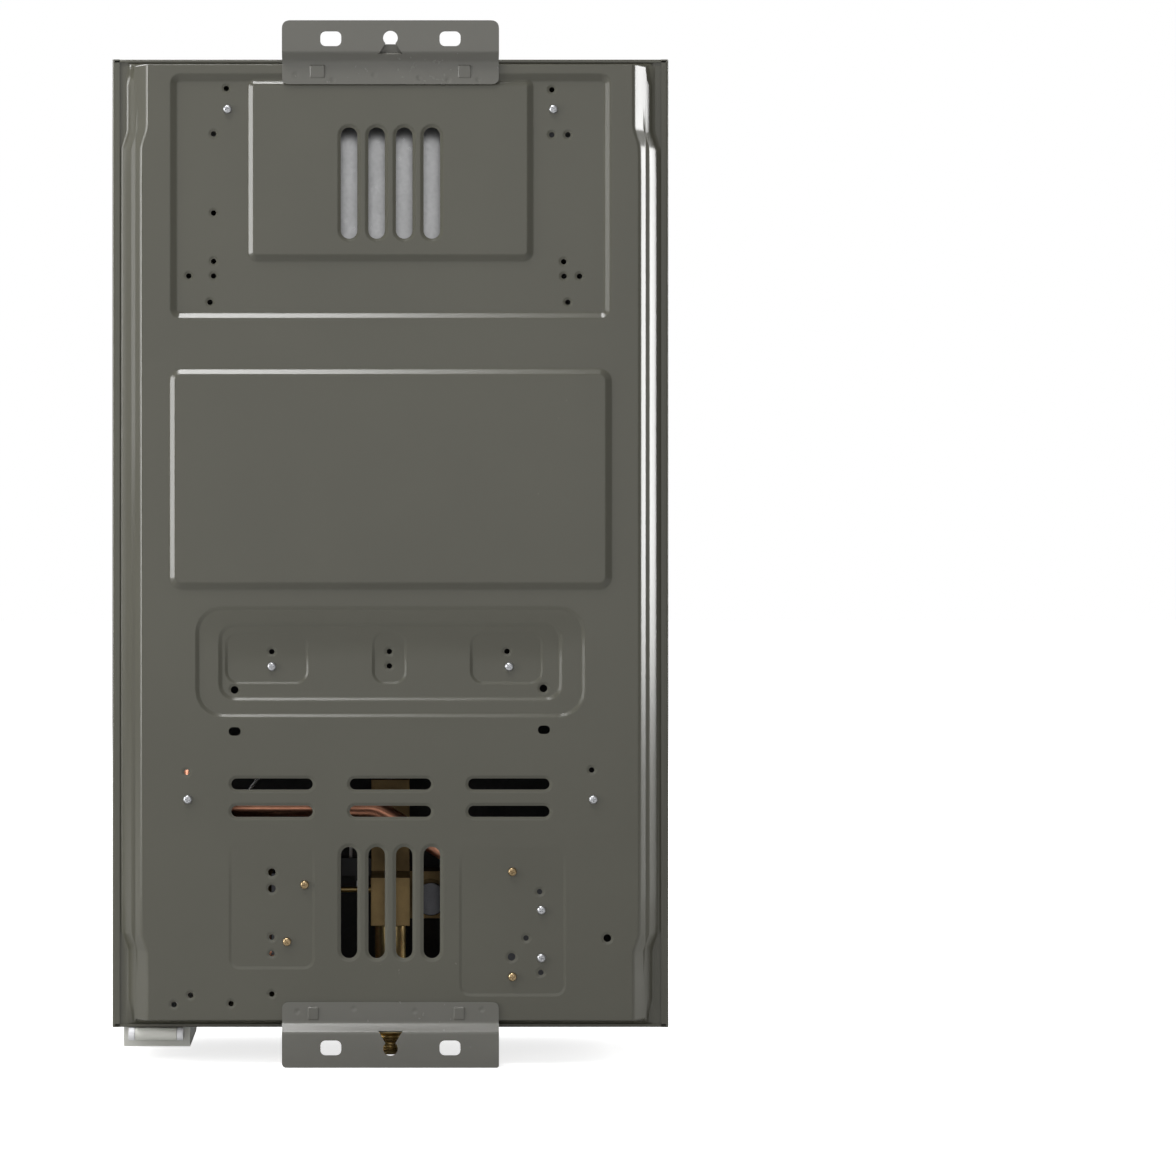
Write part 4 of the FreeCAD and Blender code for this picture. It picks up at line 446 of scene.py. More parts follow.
@dataclass(frozen=True)
class Crinkled(Finish):
    """Thin bright foil whose folds catch the light."""

    colour: Colour
    fold_scale: float = 130.0
    fold_depth: float = 0.002
    fine_scale: float = 300.0

    def paint(self, shader: Shader) -> None:
        """Builds the finish's nodes."""
        fold, shade = shader.cells(self.fold_scale)
        fine = shader.noise(self.fine_scale, 5.0)
        tone = shader.tone(shade)
        shader.dress({
            "Base Color": shader.mixed(tone * 0.5, self.colour, tinted(self.colour, 0.62)),
            "Roughness": 0.2 + fine * 0.18, "Metallic": 1.0,
            "Normal": shader.relief(fold + fine * 0.4, 0.7, self.fold_depth),
        })


@dataclass(frozen=True)
class RuledFilm(Finish):
    """Satin sticker film with plain bars and fine rules, as lengths in metres."""

    colour: Colour
    bar: Colour
    rule: Colour
    low: float
    high: float
    front: float
    rear: float
    margin: float = 0.003
    bar_half: float = 0.021
    upper_bar: Point2 = (0.0076, 0.0042)
    lower_bar: Point2 = (0.0135, 0.0165)
    upper_gap: float = 0.0095
    lower_gap: Point2 = (0.0120, 0.0180)
    pitch: float = 0.0022
    stroke: Point2 = (0.0008, 0.00145)
    speck_scale: float = 1800.0

    def paint(self, shader: Shader) -> None:
        """Builds the finish's nodes."""
        up = shader.coordinate(Axis.Z)
        along = shader.coordinate(Axis.Y)
        inside = up.between(self.low + self.margin, self.high - self.margin) * along.between(
            self.front + self.margin, self.rear - self.margin)
        middle = (self.front + self.rear) / 2
        bars = along.between(middle - self.bar_half, middle + self.bar_half) * (
            up.between(self.high - self.upper_bar[0], self.high - self.upper_bar[1])
            + up.between(self.low + self.lower_bar[0], self.low + self.lower_bar[1]))
        ragged = along.between(self.front + self.margin, self.rear - 2 * self.margin)
        spaced = 1 - (up.between(self.high - self.upper_gap, self.high) + up.between(
            self.low + self.lower_gap[0], self.low + self.lower_gap[1])).eased(0.0, 1.0)
        rules = (up - self.low).wrapped(self.pitch).between(*self.stroke) * ragged * spaced * inside
        speck = shader.noise(self.speck_scale, 2.0)
        shaded = shader.mixed(speck * 0.06, self.colour, tinted(self.colour, 0.8))
        ruled = shader.mixed(rules * 0.75, shaded, self.rule)
        shader.dress({
            "Base Color": shader.mixed(bars, ruled, self.bar),
            "Roughness": 0.38 + speck * 0.06,
            "Normal": shader.relief(speck, 0.04),
        })


@dataclass(frozen=True)
class CellWrap(Finish):
    """Plain shrink-wrapped battery cell with a metal collar near its tip."""

    colour: Colour
    collar: Colour
    collar_low: float
    haze_scale: float = 240.0

    def paint(self, shader: Shader) -> None:
        """Builds the finish's nodes."""
        up = shader.coordinate(Axis.Z)
        banded = up.above(self.collar_low)
        haze = shader.noise(self.haze_scale, 3.0)
        tone = shader.mixed(haze * 0.2, self.colour, tinted(self.colour, 1.5))
        shader.dress({
            "Base Color": shader.mixed(banded, tone, self.collar),
            "Metallic": banded * 0.9,
            "Roughness": 0.28 + haze * 0.1,
        })


@dataclass(frozen=True)
class BoardMask(Finish):
    """Circuit board under a green solder mask, with its tracks showing through as a soft relief."""

    colour: Colour
    pad: Colour
    track: Point2 = (0.0004, 0.0012)
    pitches: Point2 = (0.0032, 0.0041)
    lane_scale: float = 260.0
    pad_scale: float = 330.0
    pad_reach: float = 0.16

    def paint(self, shader: Shader) -> None:
        """Builds the finish's nodes."""
        across = shader.coordinate(Axis.X)
        up = shader.coordinate(Axis.Z)
        lane = shader.noise(self.lane_scale, 0.0)
        tracks = across.wrapped(self.pitches[0]).between(*self.track) * lane.above(0.5)
        cross = up.wrapped(self.pitches[1]).between(*self.track) * (1 - lane.above(0.5))
        copper = (tracks + cross).eased(0.0, 1.0)
        pads, _ = shader.cells(self.pad_scale)
        dots = 1 - pads.above(self.pad_reach)
        mask = shader.mixed(copper * 0.6, self.colour, tinted(self.colour, 1.8))
        shader.dress({
            "Base Color": shader.mixed(dots, mask, self.pad),
            "Roughness": 0.3 + dots * 0.15,
            "Normal": shader.relief(copper + dots, 0.25),
        })


OLIVE = SheetPaint("olive_paint", "olive_paint", srgb(80, 79, 69), 0.22)
BRUSHED = Metal("brushed_front", "brushed_front", (0.50, 0.515, 0.545), (0.44, 0.455, 0.485), 0.04, 0.25,
                22.0, 0.25, grain=(60.0, 60.0, 0.6))
FILM = RuledFilm("sticker_film", "sticker_film", srgb(146, 144, 156), srgb(158, 30, 36),
                 srgb(74, 74, 88), -0.340, -0.285, -0.1195, -0.0435)
SMOKED = Glazing("smoked_lens", "smoked_lens", (0.012, 0.012, 0.015), 0.0)
BLACK = Moulding("black_plastic", "black_plastic", (0.016, 0.016, 0.018), 0.42, 0.2)
SIGHT = Glazing("sight_glass", "sight_glass", (0.86, 0.88, 0.88), 0.85)
SATIN = Metal("satin_chrome", "satin_chrome", (0.70, 0.70, 0.71), (0.55, 0.55, 0.57), 0.12, 0.24, 700.0, 0.06)
ZINC = Metal("zinc_steel", "zinc_steel", (0.62, 0.63, 0.65), (0.42, 0.42, 0.44), 0.3, 0.32)
WHITE = Moulding("white_plastic", "white_plastic", (0.74, 0.74, 0.76), 0.32, 0.05, 900.0, 0.1)
MILKY = Moulding("grey_plastic", "grey_plastic", srgb(205, 205, 198), 0.4, 0.1, 1100.0, 0.35)
WRAP = CellWrap("cell_wrap", "cell_wrap", (0.02, 0.022, 0.025), (0.45, 0.27, 0.12), -0.6)
COPPER = Metal("copper", "copper", (0.82, 0.39, 0.25), (0.44, 0.19, 0.12), 0.42, 0.3, 300.0, 0.1)
BRASS = Metal("brass", "brass", (0.78, 0.58, 0.26), (0.42, 0.30, 0.13), 0.35, 0.3)
# Foil darkened nearly to black: painted shade for the dark inside of the casing; its folds still catch the
# lamps.
FOIL = Crinkled("foil", "foil", (0.085, 0.085, 0.087))
# Lit and shaded copies of the hood's galvanised sheet: the tail plate keeps the lighter copy, and the rest of
# the hood and the draught rim take the near-black copy as painted shade.
HOOD_TAIL = Metal("hood_tail", "galvanised", (0.46, 0.462, 0.466), (0.42, 0.422, 0.426), 0.06, 0.3,
                  400.0, 0.08, 0.08)
HOOD_SHADE = Metal("heat_darkened", "galvanised", (0.07, 0.07, 0.073), (0.04, 0.039, 0.037), 0.25, 0.18,
               260.0, 0.06)
BURNER_STEEL = Metal("burner_steel", "burner_steel", (0.50, 0.48, 0.46), (0.30, 0.24, 0.20), 0.45, 0.4)
CAST = Metal("cast_alloy", "cast_alloy", (0.55, 0.55, 0.55), (0.36, 0.36, 0.37), 0.4, 0.48, 900.0, 0.4)
# Valve castings darkened well below their metal's own colour: painted shade for the dark inside of the
# casing.
CAST_BRASS = Metal("cast_brass", "brass", (0.22, 0.145, 0.06), (0.09, 0.065, 0.035), 0.5, 0.34, 900.0, 0.3)
CAST_BLOCK = Metal("cast_block", "cast_alloy", (0.20, 0.14, 0.065), (0.09, 0.065, 0.035), 0.5, 0.36,
                   900.0, 0.3)
AGED_BRASS = Metal("aged_brass", "brass", (0.50, 0.37, 0.21), (0.28, 0.20, 0.11), 0.4, 0.26)
# Brackets and rack darkened nearly to black: painted shade, so the holes in front of them read dark.
SHADED_ZINC = Metal("dull_zinc", "galvanised", (0.045, 0.045, 0.048), (0.025, 0.025, 0.025), 0.4, 0.5)
# Near-black finish for the inner faces of the rear pan and the front tray: painted shade for the dark inside
# of the casing.
SHADE_INSIDE = Metal("dark_lining", "brushed_front", (0.045, 0.045, 0.045), (0.03, 0.03, 0.03), 0.3, 0.5)
HANGER_PAINT = SheetPaint("strip_paint", "olive_paint", srgb(98, 97, 91), 0.24)
RUBBER = Moulding("seal_rubber", "seal_rubber", (0.02, 0.02, 0.02), 0.6, 0.3)
# Solenoid can darkened nearly to black: painted shade for the dark inside of the casing.
CAN = Metal("solenoid_can", "solenoid_can", (0.07, 0.07, 0.075), (0.04, 0.04, 0.045), 0.15, 0.2,
            30.0, 0.12, grain=(1.0, 60.0, 1.0))
CERAMIC = Moulding("ceramic", "ceramic", (0.84, 0.82, 0.76), 0.18, 0.04, 500.0)
BOARD = BoardMask("board_green", "board_green", (0.03, 0.12, 0.05), (0.6, 0.6, 0.58))
CAPACITOR = Moulding("capacitor_blue", "capacitor_blue", (0.02, 0.16, 0.42), 0.25, 0.04)
LEAD = Moulding("wire_cover", "wire_cover", (0.72, 0.72, 0.72), 0.35, 0.05)
RED_LEAD = Moulding("red_wire_cover", "wire_cover", (0.50, 0.02, 0.02), 0.35, 0.05)


# ---------------- mesh tools

def arc(centre: Point2, radius: float, start: float, turn: float, steps: int) -> list[Point2]:
    """Points of an arc from a starting angle through a turn, both in radians, with its two ends."""
    angles = [start + turn * step / steps for step in range(steps + 1)]
    return [(centre[0] + radius * math.cos(angle), centre[1] + radius * math.sin(angle)) for angle in angles]


def rounded_rect(low: Point2, high: Point2, radius: float, steps: int = 4) -> list[Point2]:
    """Outline of a rectangle with rounded corners, anticlockwise."""
    left, right = low[0] + radius, high[0] - radius
    bottom, top = low[1] + radius, high[1] - radius
    outline = []
    for quarter, centre in enumerate(((right, top), (left, top), (left, bottom), (right, bottom))):
        outline += arc(centre, radius, quarter * math.pi / 2, math.pi / 2, steps)
    return outline


def shrunk(low: Sequence[float], high: Sequence[float], inset: float) -> tuple[Point2, Point2]:
    """Low and high corner of a rectangle, drawn in by an inset."""
    return (low[0] + inset, low[1] + inset), (high[0] - inset, high[1] - inset)


def about(middle: Point2, size: Point2, inset: float = 0.0) -> tuple[Point2, Point2]:
    """Low and high corner of a rectangle about its middle, drawn in by an inset."""
    (x, z), (wide, tall) = middle, size
    return shrunk((x - wide / 2, z - tall / 2), (x + wide / 2, z + tall / 2), inset)


def circle(centre: Point2, radius: float, steps: int = 24) -> list[Point2]:
    """Outline of a circle, anticlockwise."""
    return arc(centre, radius, 0.0, math.tau, steps)[:-1]


def softened(outline: Sequence[Point2], radii: Sequence[float], steps: int = 3) -> list[Point2]:
    """The outline with each of its corners rounded by its own radius."""
    soft = []
    for number, corner in enumerate(outline):
        here = Vector(corner)
        before = Vector(outline[number - 1]) - here
        after = Vector(outline[(number + 1) % len(outline)]) - here
        radius = radii[number % len(radii)]
        if radius <= 0:
            soft.append(corner)
            continue
        half = before.angle(after) / 2
        reach = min(radius / math.tan(half), before.length * 0.49, after.length * 0.49)
        start, end = here + before.normalized() * reach, here + after.normalized() * reach
        for step in range(steps + 1):
            share = step / steps
            soft.append(tuple(start * (1 - share) ** 2 + here * 2 * share * (1 - share) + end * share ** 2))
    return soft


class Draft:
    """Mesh of one piece, drawn in millimetres above the bottom of the casing."""

    def __init__(self) -> None:
        """Starts an empty mesh."""
        self.mesh = bmesh.new()

    def bridge(self, rings: Sequence[Sequence[Vector]], closed: bool = True, caps: bool = True) -> None:
        """Joins rings of equal length by quads.

        Args:
            rings: Rings of points, in order.
            closed: True where each ring runs round.
            caps: True where the first and last ring are filled.
        """
        made = [[self.mesh.verts.new(point) for point in ring] for ring in rings]
        count = len(made[0])
        for lower, upper in zip(made, made[1:]):
            for number in range(count if closed else count - 1):
                after = (number + 1) % count
                self.mesh.faces.new((lower[number], lower[after], upper[after], upper[number]))
        if caps:
            self.mesh.faces.new(list(reversed(made[0])))
            self.mesh.faces.new(made[-1])

    def lathe(self, axis: Axis, centre: Point2, profile: Sequence[Point2], steps: int = 40,
              caps: bool = True) -> None:
        """Turns a profile of places along an axis and radii about that axis."""
        rings = [[axis.point(along, *spot) for spot in circle(centre, max(radius, 0.01), steps)]
                 for along, radius in profile]
        self.bridge(rings, True, caps)

    def prism(self, axis: Axis, outline: Sequence[Point2], low: float, high: float,
              round_by: float = 0.0) -> None:
        """Extrudes an outline along an axis, with rounded ends where asked."""
        steps = 3
        centre = Vector((sum(x for x, _ in outline), sum(y for _, y in outline))) / len(outline)
        reach = max((Vector(spot) - centre).length for spot in outline)
        places = [(low, 0.0), (high, 0.0)]
        if round_by > 0:
            angles = [math.pi / 2 * step / steps for step in range(steps + 1)]
            places = [(low + round_by * (1 - math.cos(angle)), round_by * (1 - math.sin(angle)))
                      for angle in angles]
            places += [(low + high - along, inset) for along, inset in reversed(places)]
        self.bridge([[axis.point(along, *(centre + (Vector(spot) - centre) * (1 - inset / reach)))
                      for spot in outline] for along, inset in places])

    def block(self, low: Point3, high: Point3, edge: float, steps: int) -> None:
        """Box with rounded edges."""
        made = bmesh.ops.create_cube(self.mesh, size=1.0)
        size = Vector(high) - Vector(low)
        middle = (Vector(high) + Vector(low)) / 2
        for vert in made["verts"]:
            vert.co = Vector(part * length for part, length in zip(vert.co, size)) + middle
        edges = list({line for vert in made["verts"] for line in vert.link_edges})
        bmesh.ops.bevel(self.mesh, geom=edges, offset=edge, segments=steps, profile=0.5, affect="EDGES")

    def add(self, source: bpy.types.Mesh) -> None:
        """Adds a mesh that is already in the frame's metres."""
        start = len(self.mesh.verts)
        self.mesh.from_mesh(source)
        back = TO_FRAME.inverted()
        self.mesh.verts.ensure_lookup_table()
        for vert in self.mesh.verts[start:]:
            vert.co = back @ vert.co

    def finish(self, name: str, finish: Finish, nodes: Iterable[str] = (), smooth: float = 35.0,
               body: Body = Body.HEATER) -> bpy.types.Object:
        """Makes the drawn mesh a piece of the object.

        Args:
            name: The piece's name.
            finish: Its finish.
            nodes: CAD nodes that it stands for.
            smooth: Angle in degrees past which an edge stays sharp.
            body: The moving body that it rides on.

        Returns:
            The finished piece.
        """
        bmesh.ops.remove_doubles(self.mesh, verts=self.mesh.verts, dist=0.002)
        bmesh.ops.dissolve_degenerate(self.mesh, edges=self.mesh.edges, dist=0.001)
        bmesh.ops.recalc_face_normals(self.mesh, faces=self.mesh.faces)
        for face in self.mesh.faces:
            face.smooth = True
        for edge in self.mesh.edges:
            edge.smooth = len(edge.link_faces) == 2 and edge.calc_face_angle() < math.radians(smooth)
        bmesh.ops.transform(self.mesh, matrix=TO_FRAME, verts=self.mesh.verts)
        data = bpy.data.meshes.new(name)
        self.mesh.to_mesh(data)
        self.mesh.free()
        piece = placed(name, data)
        weigh = piece.modifiers.new("Weighted", "WEIGHTED_NORMAL")
        weigh.keep_sharp = True
        return settle(piece, finish, body, nodes)


def placed(name: str, data: bpy.types.ID) -> bpy.types.Object:
    """New object of the scene, at the origin."""
    made = bpy.data.objects.new(name, data)
    bpy.context.scene.collection.objects.link(made)
    return made


def settle(piece: bpy.types.Object, finish: Finish, body: Body,
           nodes: Iterable[str] = ()) -> bpy.types.Object:
    """Applies a piece's modifiers, gives it its finish and fixes it to its body.

    Args:
        piece: The object, at the origin.
        finish: Its finish.
        body: The moving body that it rides on.
        nodes: CAD nodes that it stands for.

    Returns:
        The same object.
    """
    if piece.modifiers:
        graph = bpy.context.evaluated_depsgraph_get()
        data = bpy.data.meshes.new_from_object(piece.evaluated_get(graph))
        piece.modifiers.clear()
        data.name = piece.name
        piece.data = data
    piece.data.materials.clear()
    piece.data.materials.append(finish.material())
    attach(piece, body.value)
    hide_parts(*nodes)
    log.info("%s: %d faces on %s", piece.name, len(piece.data.polygons), body.value)
    return piece


def join(whole: bpy.types.Object, part: bpy.types.Object) -> None:
    """Adds a second piece of the same finish to a first and removes the second."""
    with bpy.context.temp_override(active_object=whole, selected_editable_objects=[whole, part]):
        bpy.ops.object.join()


def carried(node: str, finish: Finish, edge: float = 0.0) -> bpy.types.Object:
    """Dresses a merged copy of a CAD node that needs no more than its finish and softer edges.

    Args:
        node: The node's name.
        finish: Its finish.
        edge: Width of the rounding on its sharp edges, in millimetres.

    Returns:
        The piece that stands for the node.
    """
    flat_below, sharp_above, smooth_below = 1.0, 40.0, 30.0
    source = frame["nodes"][node]
    draft = Draft()
    draft.add(source.data)
    mesh = draft.mesh
    bmesh.ops.remove_doubles(mesh, verts=mesh.verts, dist=0.003)
    if edge > 0:
        bmesh.ops.dissolve_limit(mesh, angle_limit=math.radians(flat_below), verts=mesh.verts,
                                 edges=mesh.edges)
        sharp = [line for line in mesh.edges
                 if len(line.link_faces) == 2 and line.calc_face_angle() > math.radians(sharp_above)]
        bmesh.ops.bevel(mesh, geom=sharp, offset=edge, segments=2, profile=0.5, affect="EDGES",
                        clamp_overlap=True)
    return draft.finish(f"dressed_{node}", finish, (node,), smooth_below, Body(body_of(source)[0]))


# ---------------- pressed sheet

Numbers = np.ndarray
Loop = list[Point2]


def eased(share: Numbers, soft: float = 0.18) -> Numbers:
    """Straight rise from nothing to one with softly rounded ends.

    Args:
        share: Place across the rise, nothing at its start and one at its end.
        soft: Half the length of each rounded end, as a share of the rise.

    Returns:
        Height at each place.
    """
    start = (np.clip(share, -soft, soft) + soft) ** 2 / (4 * soft)
    end = 1 - (np.clip(1 - share, -soft, soft) + soft) ** 2 / (4 * soft)
    return np.where(share < soft, start, np.where(share > 1 - soft, end, share))


def inset_of(x: Numbers, z: Numbers, low: Point2, high: Point2, radius: float) -> Numbers:
    """Distance of each point inside a rounded rectangle's edge, negative outside it."""
    away_x = np.abs(x - (low[0] + high[0]) / 2) - (high[0] - low[0]) / 2 + radius
    away_z = np.abs(z - (low[1] + high[1]) / 2) - (high[1] - low[1]) / 2 + radius
    outside = np.hypot(np.maximum(away_x, 0), np.maximum(away_z, 0))
    return radius - outside - np.minimum(np.maximum(away_x, away_z), 0)


@dataclass(frozen=True)
class Pressing:
    """Raised or sunk panel of a sheet, with a rounded outline and sloping walls."""

    low: Point2
    high: Point2
    radius: float
    rise: float
    wall: float = 3.4
    fade: Point2 | None = None
    soft: float = 0.2

    def height(self, x: Numbers, z: Numbers) -> Numbers:
        """Rise of the sheet at each point."""
        inside = inset_of(x, z, self.low, self.high, self.radius)
        height = self.rise * eased(inside / self.wall, self.soft)
        if self.fade:
            height = height * (1 - eased((z - self.fade[0]) / (self.fade[1] - self.fade[0]), 0.4))
        return height

    def creases(self) -> list[Loop]:
        """Contours that the mesh follows across the wall."""
        soft = self.soft * self.wall
        loops = []
        for inset in (-soft, 0.0, soft, self.wall / 2, self.wall - soft, self.wall, self.wall + soft):
            corners = shrunk(self.low, self.high, inset)
            loops.append(rounded_rect(*corners, max(0.6, self.radius - inset), 5))
        return loops


@dataclass(frozen=True)
class Lip:
    """Drawn-in edge about a hole: its depth, its reach, the mesh's contours about it and its softness."""

    depth: float
    reach: float
    contours: tuple[float, ...]
    soft: float = 0.3


@dataclass(frozen=True)
class Opening:
    """Base of the holes that have a drawn-in edge."""

    place: Point2
    steps: int
    lip: Lip

    def outline(self, away: float = 0.0) -> Loop:
        """Edge of the hole, moved out by a distance."""
        raise NotImplementedError

    def outside(self, x: Numbers, z: Numbers) -> Numbers:
        """Distance of each point from the edge, negative inside the hole."""
        raise NotImplementedError

    def drop(self, x: Numbers, z: Numbers) -> Numbers:
        """Depth of the drawn-in edge at each point."""
        return self.lip.depth * (1 - eased(self.outside(x, z) / self.lip.reach, self.lip.soft))


@dataclass(frozen=True)
class Slot(Opening):
    """Oblong hole whose ends are half circles unless its corners are tighter."""

    size: Point2
    corner: float = math.inf

    def outline(self, away: float = 0.0) -> Loop:
        """Edge of the hole, moved out by a distance."""
        radius = min(self.corner, min(self.size) / 2 - 0.01)
        return rounded_rect(*about(self.place, self.size, -away), radius + away, self.steps)

    def outside(self, x: Numbers, z: Numbers) -> Numbers:
        """Distance of each point from the edge, negative inside the hole."""
        return -inset_of(x, z, *about(self.place, self.size), min(self.corner, min(self.size) / 2))


@dataclass(frozen=True)
class Bore(Opening):
    """Round hole."""

    radius: float

    def outline(self, away: float = 0.0) -> Loop:
        """Edge of the hole, moved out by a distance."""
        return circle(self.place, self.radius + away, self.steps)

    def outside(self, x: Numbers, z: Numbers) -> Numbers:
        """Distance of each point from the edge, negative inside the hole."""
        return np.hypot(x - self.place[0], z - self.place[1]) - self.radius


def drawn_in(openings: Iterable[Opening], x: Numbers, z: Numbers) -> Numbers:
    """Depth at each point of the drawn-in edges of several holes."""
    drop = np.zeros_like(x)
    for opening in openings:
        drop = np.maximum(drop, opening.drop(x, z))
    return drop


def contours(openings: Iterable[Opening]) -> list[Loop]:
    """Contours that the mesh follows about several holes."""
    return [opening.outline(away) for opening in openings for away in opening.lip.contours]


@dataclass
class Fold:
    """Path of a bent sheet's outer face in one plane, with rounded bends."""

    points: list[Point2]
    bend: float = 1.6
    segments: int = 4
    lines: list[float] = field(init=False)
    spots: list[Point2] = field(init=False)

    def __post_init__(self) -> None:
        """Works out the rounded path."""
        radii = [0.0] + [self.bend] * (len(self.points) - 2) + [0.0]
        self.spots = softened(self.points, radii, self.segments)
        steps = [math.dist(one, two) for one, two in zip(self.spots, self.spots[1:])]
        self.lines = [sum(steps[:number]) for number in range(len(self.spots))]

    @property
    def length(self) -> float:
        """Length of the rounded path."""
        return self.lines[-1]

    def bends(self, low: float, high: float) -> list[Loop]:
        """Lines across the sheet at its bends, between two places."""
        return [[(low, row), (high, row)] for row in self.lines[1:-1]]

    def on_flat(self, place: float, part: int) -> float:
        """Distance along the path to a value of one coordinate, on the longest straight run."""
        spans = [two - one for one, two in zip(self.lines, self.lines[1:])]
        start = spans.index(max(spans))
        return self.lines[start] + abs(place - self.spots[start][part])

    def at(self, along: Numbers) -> tuple[Numbers, Numbers]:
        """Place in the plane at each distance along the path, running straight on past its ends."""
        ends = []
        for spot, inner, gap in ((self.spots[0], self.spots[1], self.lines[1]),
                                 (self.spots[-1], self.spots[-2], self.lines[-1] - self.lines[-2])):
            ends.append([outer + (outer - near) / gap for outer, near in zip(spot, inner)])
        lines = [-1.0, *self.lines, self.length + 1.0]
        spots = [ends[0], *self.spots, ends[1]]
        return tuple(np.interp(along, lines, [spot[part] for spot in spots]) for part in (0, 1))


@dataclass
class PressedSheet:
    """Sheet with holes whose outer face is a surface over two numbers."""

    outline: Loop
    holes: list[Loop]
    creases: list[Loop]
    surface: Callable[[Numbers, Numbers], Numbers]
    thickness: float
    flip: bool = False
    lines: list[Loop] = field(default_factory=list)

    def triangles(self) -> tuple[Numbers, list[list[int]]]:
        """Flat triangles that follow the outline, the holes and the creases."""
        spots: list[Point2] = []
        edges: list[tuple[int, int]] = []
        faces: list[list[int]] = []
        for number, loop in enumerate([self.outline, *self.holes, *self.creases]):
            start = len(spots)
            spots.extend(loop)
            around = list(range(start, len(spots)))
            edges.extend(zip(around, around[1:] + around[:1]))
            if number <= len(self.holes):
                faces.append(around)
        for line in self.lines:
            start = len(spots)
            spots.extend(line)
            edges.extend((step, step + 1) for step in range(start, len(spots) - 1))
        made = delaunay_2d_cdt([Vector(spot) for spot in spots], edges, faces, 1, 0.004)
        kept = [face for face, source in zip(made[2], made[5]) if source == [0]]
        return np.array([tuple(vert) for vert in made[0]]), kept

    def mesh(self, name: str) -> bpy.types.Mesh:
        """The sheet with both faces and its cut edges, in the frame's metres.

        Args:
            name: The mesh's name.

        Returns:
            The mesh, shaded by the surface's own normals.
        """
        flat, faces = self.triangles()
        used = sorted({corner for face in faces for corner in face})
        places = {corner: number for number, corner in enumerate(used)}
        faces = [[places[corner] for corner in face] for face in faces]
        flat = flat[used]
        across, up = flat[:, 0], flat[:, 1]
        step = 0.02
        outer = self.surface(across, up)
        by_u = self.surface(across + step, up) - self.surface(across - step, up)
        by_v = self.surface(across, up + step) - self.surface(across, up - step)
        normal = np.cross(by_u, by_v) * (-1 if self.flip else 1)
        normal /= np.linalg.norm(normal, axis=1)[:, None]
        inner = outer - normal * self.thickness
        count = len(outer)
        if self.flip:
            faces = [face[::-1] for face in faces]
        borders = {}
        for face in faces:
            for one, two in zip(face, face[1:] + face[:1]):
                if borders.pop((two, one), None) is None:
                    borders[(one, two)] = True
        walls = [[two, one, one + count, two + count] for one, two in borders]
        back = [[corner + count for corner in reversed(face)] for face in faces]
        data = bpy.data.meshes.new(name)
        data.from_pydata(np.vstack((outer, inner)).tolist(), [], faces + back + walls)
        data.polygons.foreach_set("use_smooth", [True] * len(data.polygons))
        corners = np.vstack((normal, -normal))
        split = []
        for polygon in data.polygons:
            for vertex in polygon.vertices:
                flat_wall = polygon.index >= 2 * len(faces)
                split.append(tuple(polygon.normal) if flat_wall else tuple(corners[vertex]))
        data.normals_split_custom_set(split)
        data.transform(TO_FRAME)
        data["outer"] = len(faces)
        return data

    def piece(self, name: str, finish: Finish, nodes: Iterable[str] = (),
              inner_shade: Finish | None = None) -> bpy.types.Object:
        """The sheet as a finished piece of the heater's body.

        Args:
            name: The piece's name.
            finish: Finish of the outer face and the cut edges.
            nodes: CAD nodes that it stands for.
            inner_shade: Finish of the inner face, where it has its own: a near-black painted shade for the
                dark inside of the casing.

        Returns:
            The finished sheet.
        """
        made = placed(name, self.mesh(name))
        settle(made, finish, Body.HEATER, nodes)
        # The inner face takes the near-black painted shade.
        if inner_shade:
            made.data.materials.append(inner_shade.material())
            count = made.data["outer"]
            for number in range(count, 2 * count):
                made.data.polygons[number].material_index = 1
        return made


# ---------------- geometry nodes

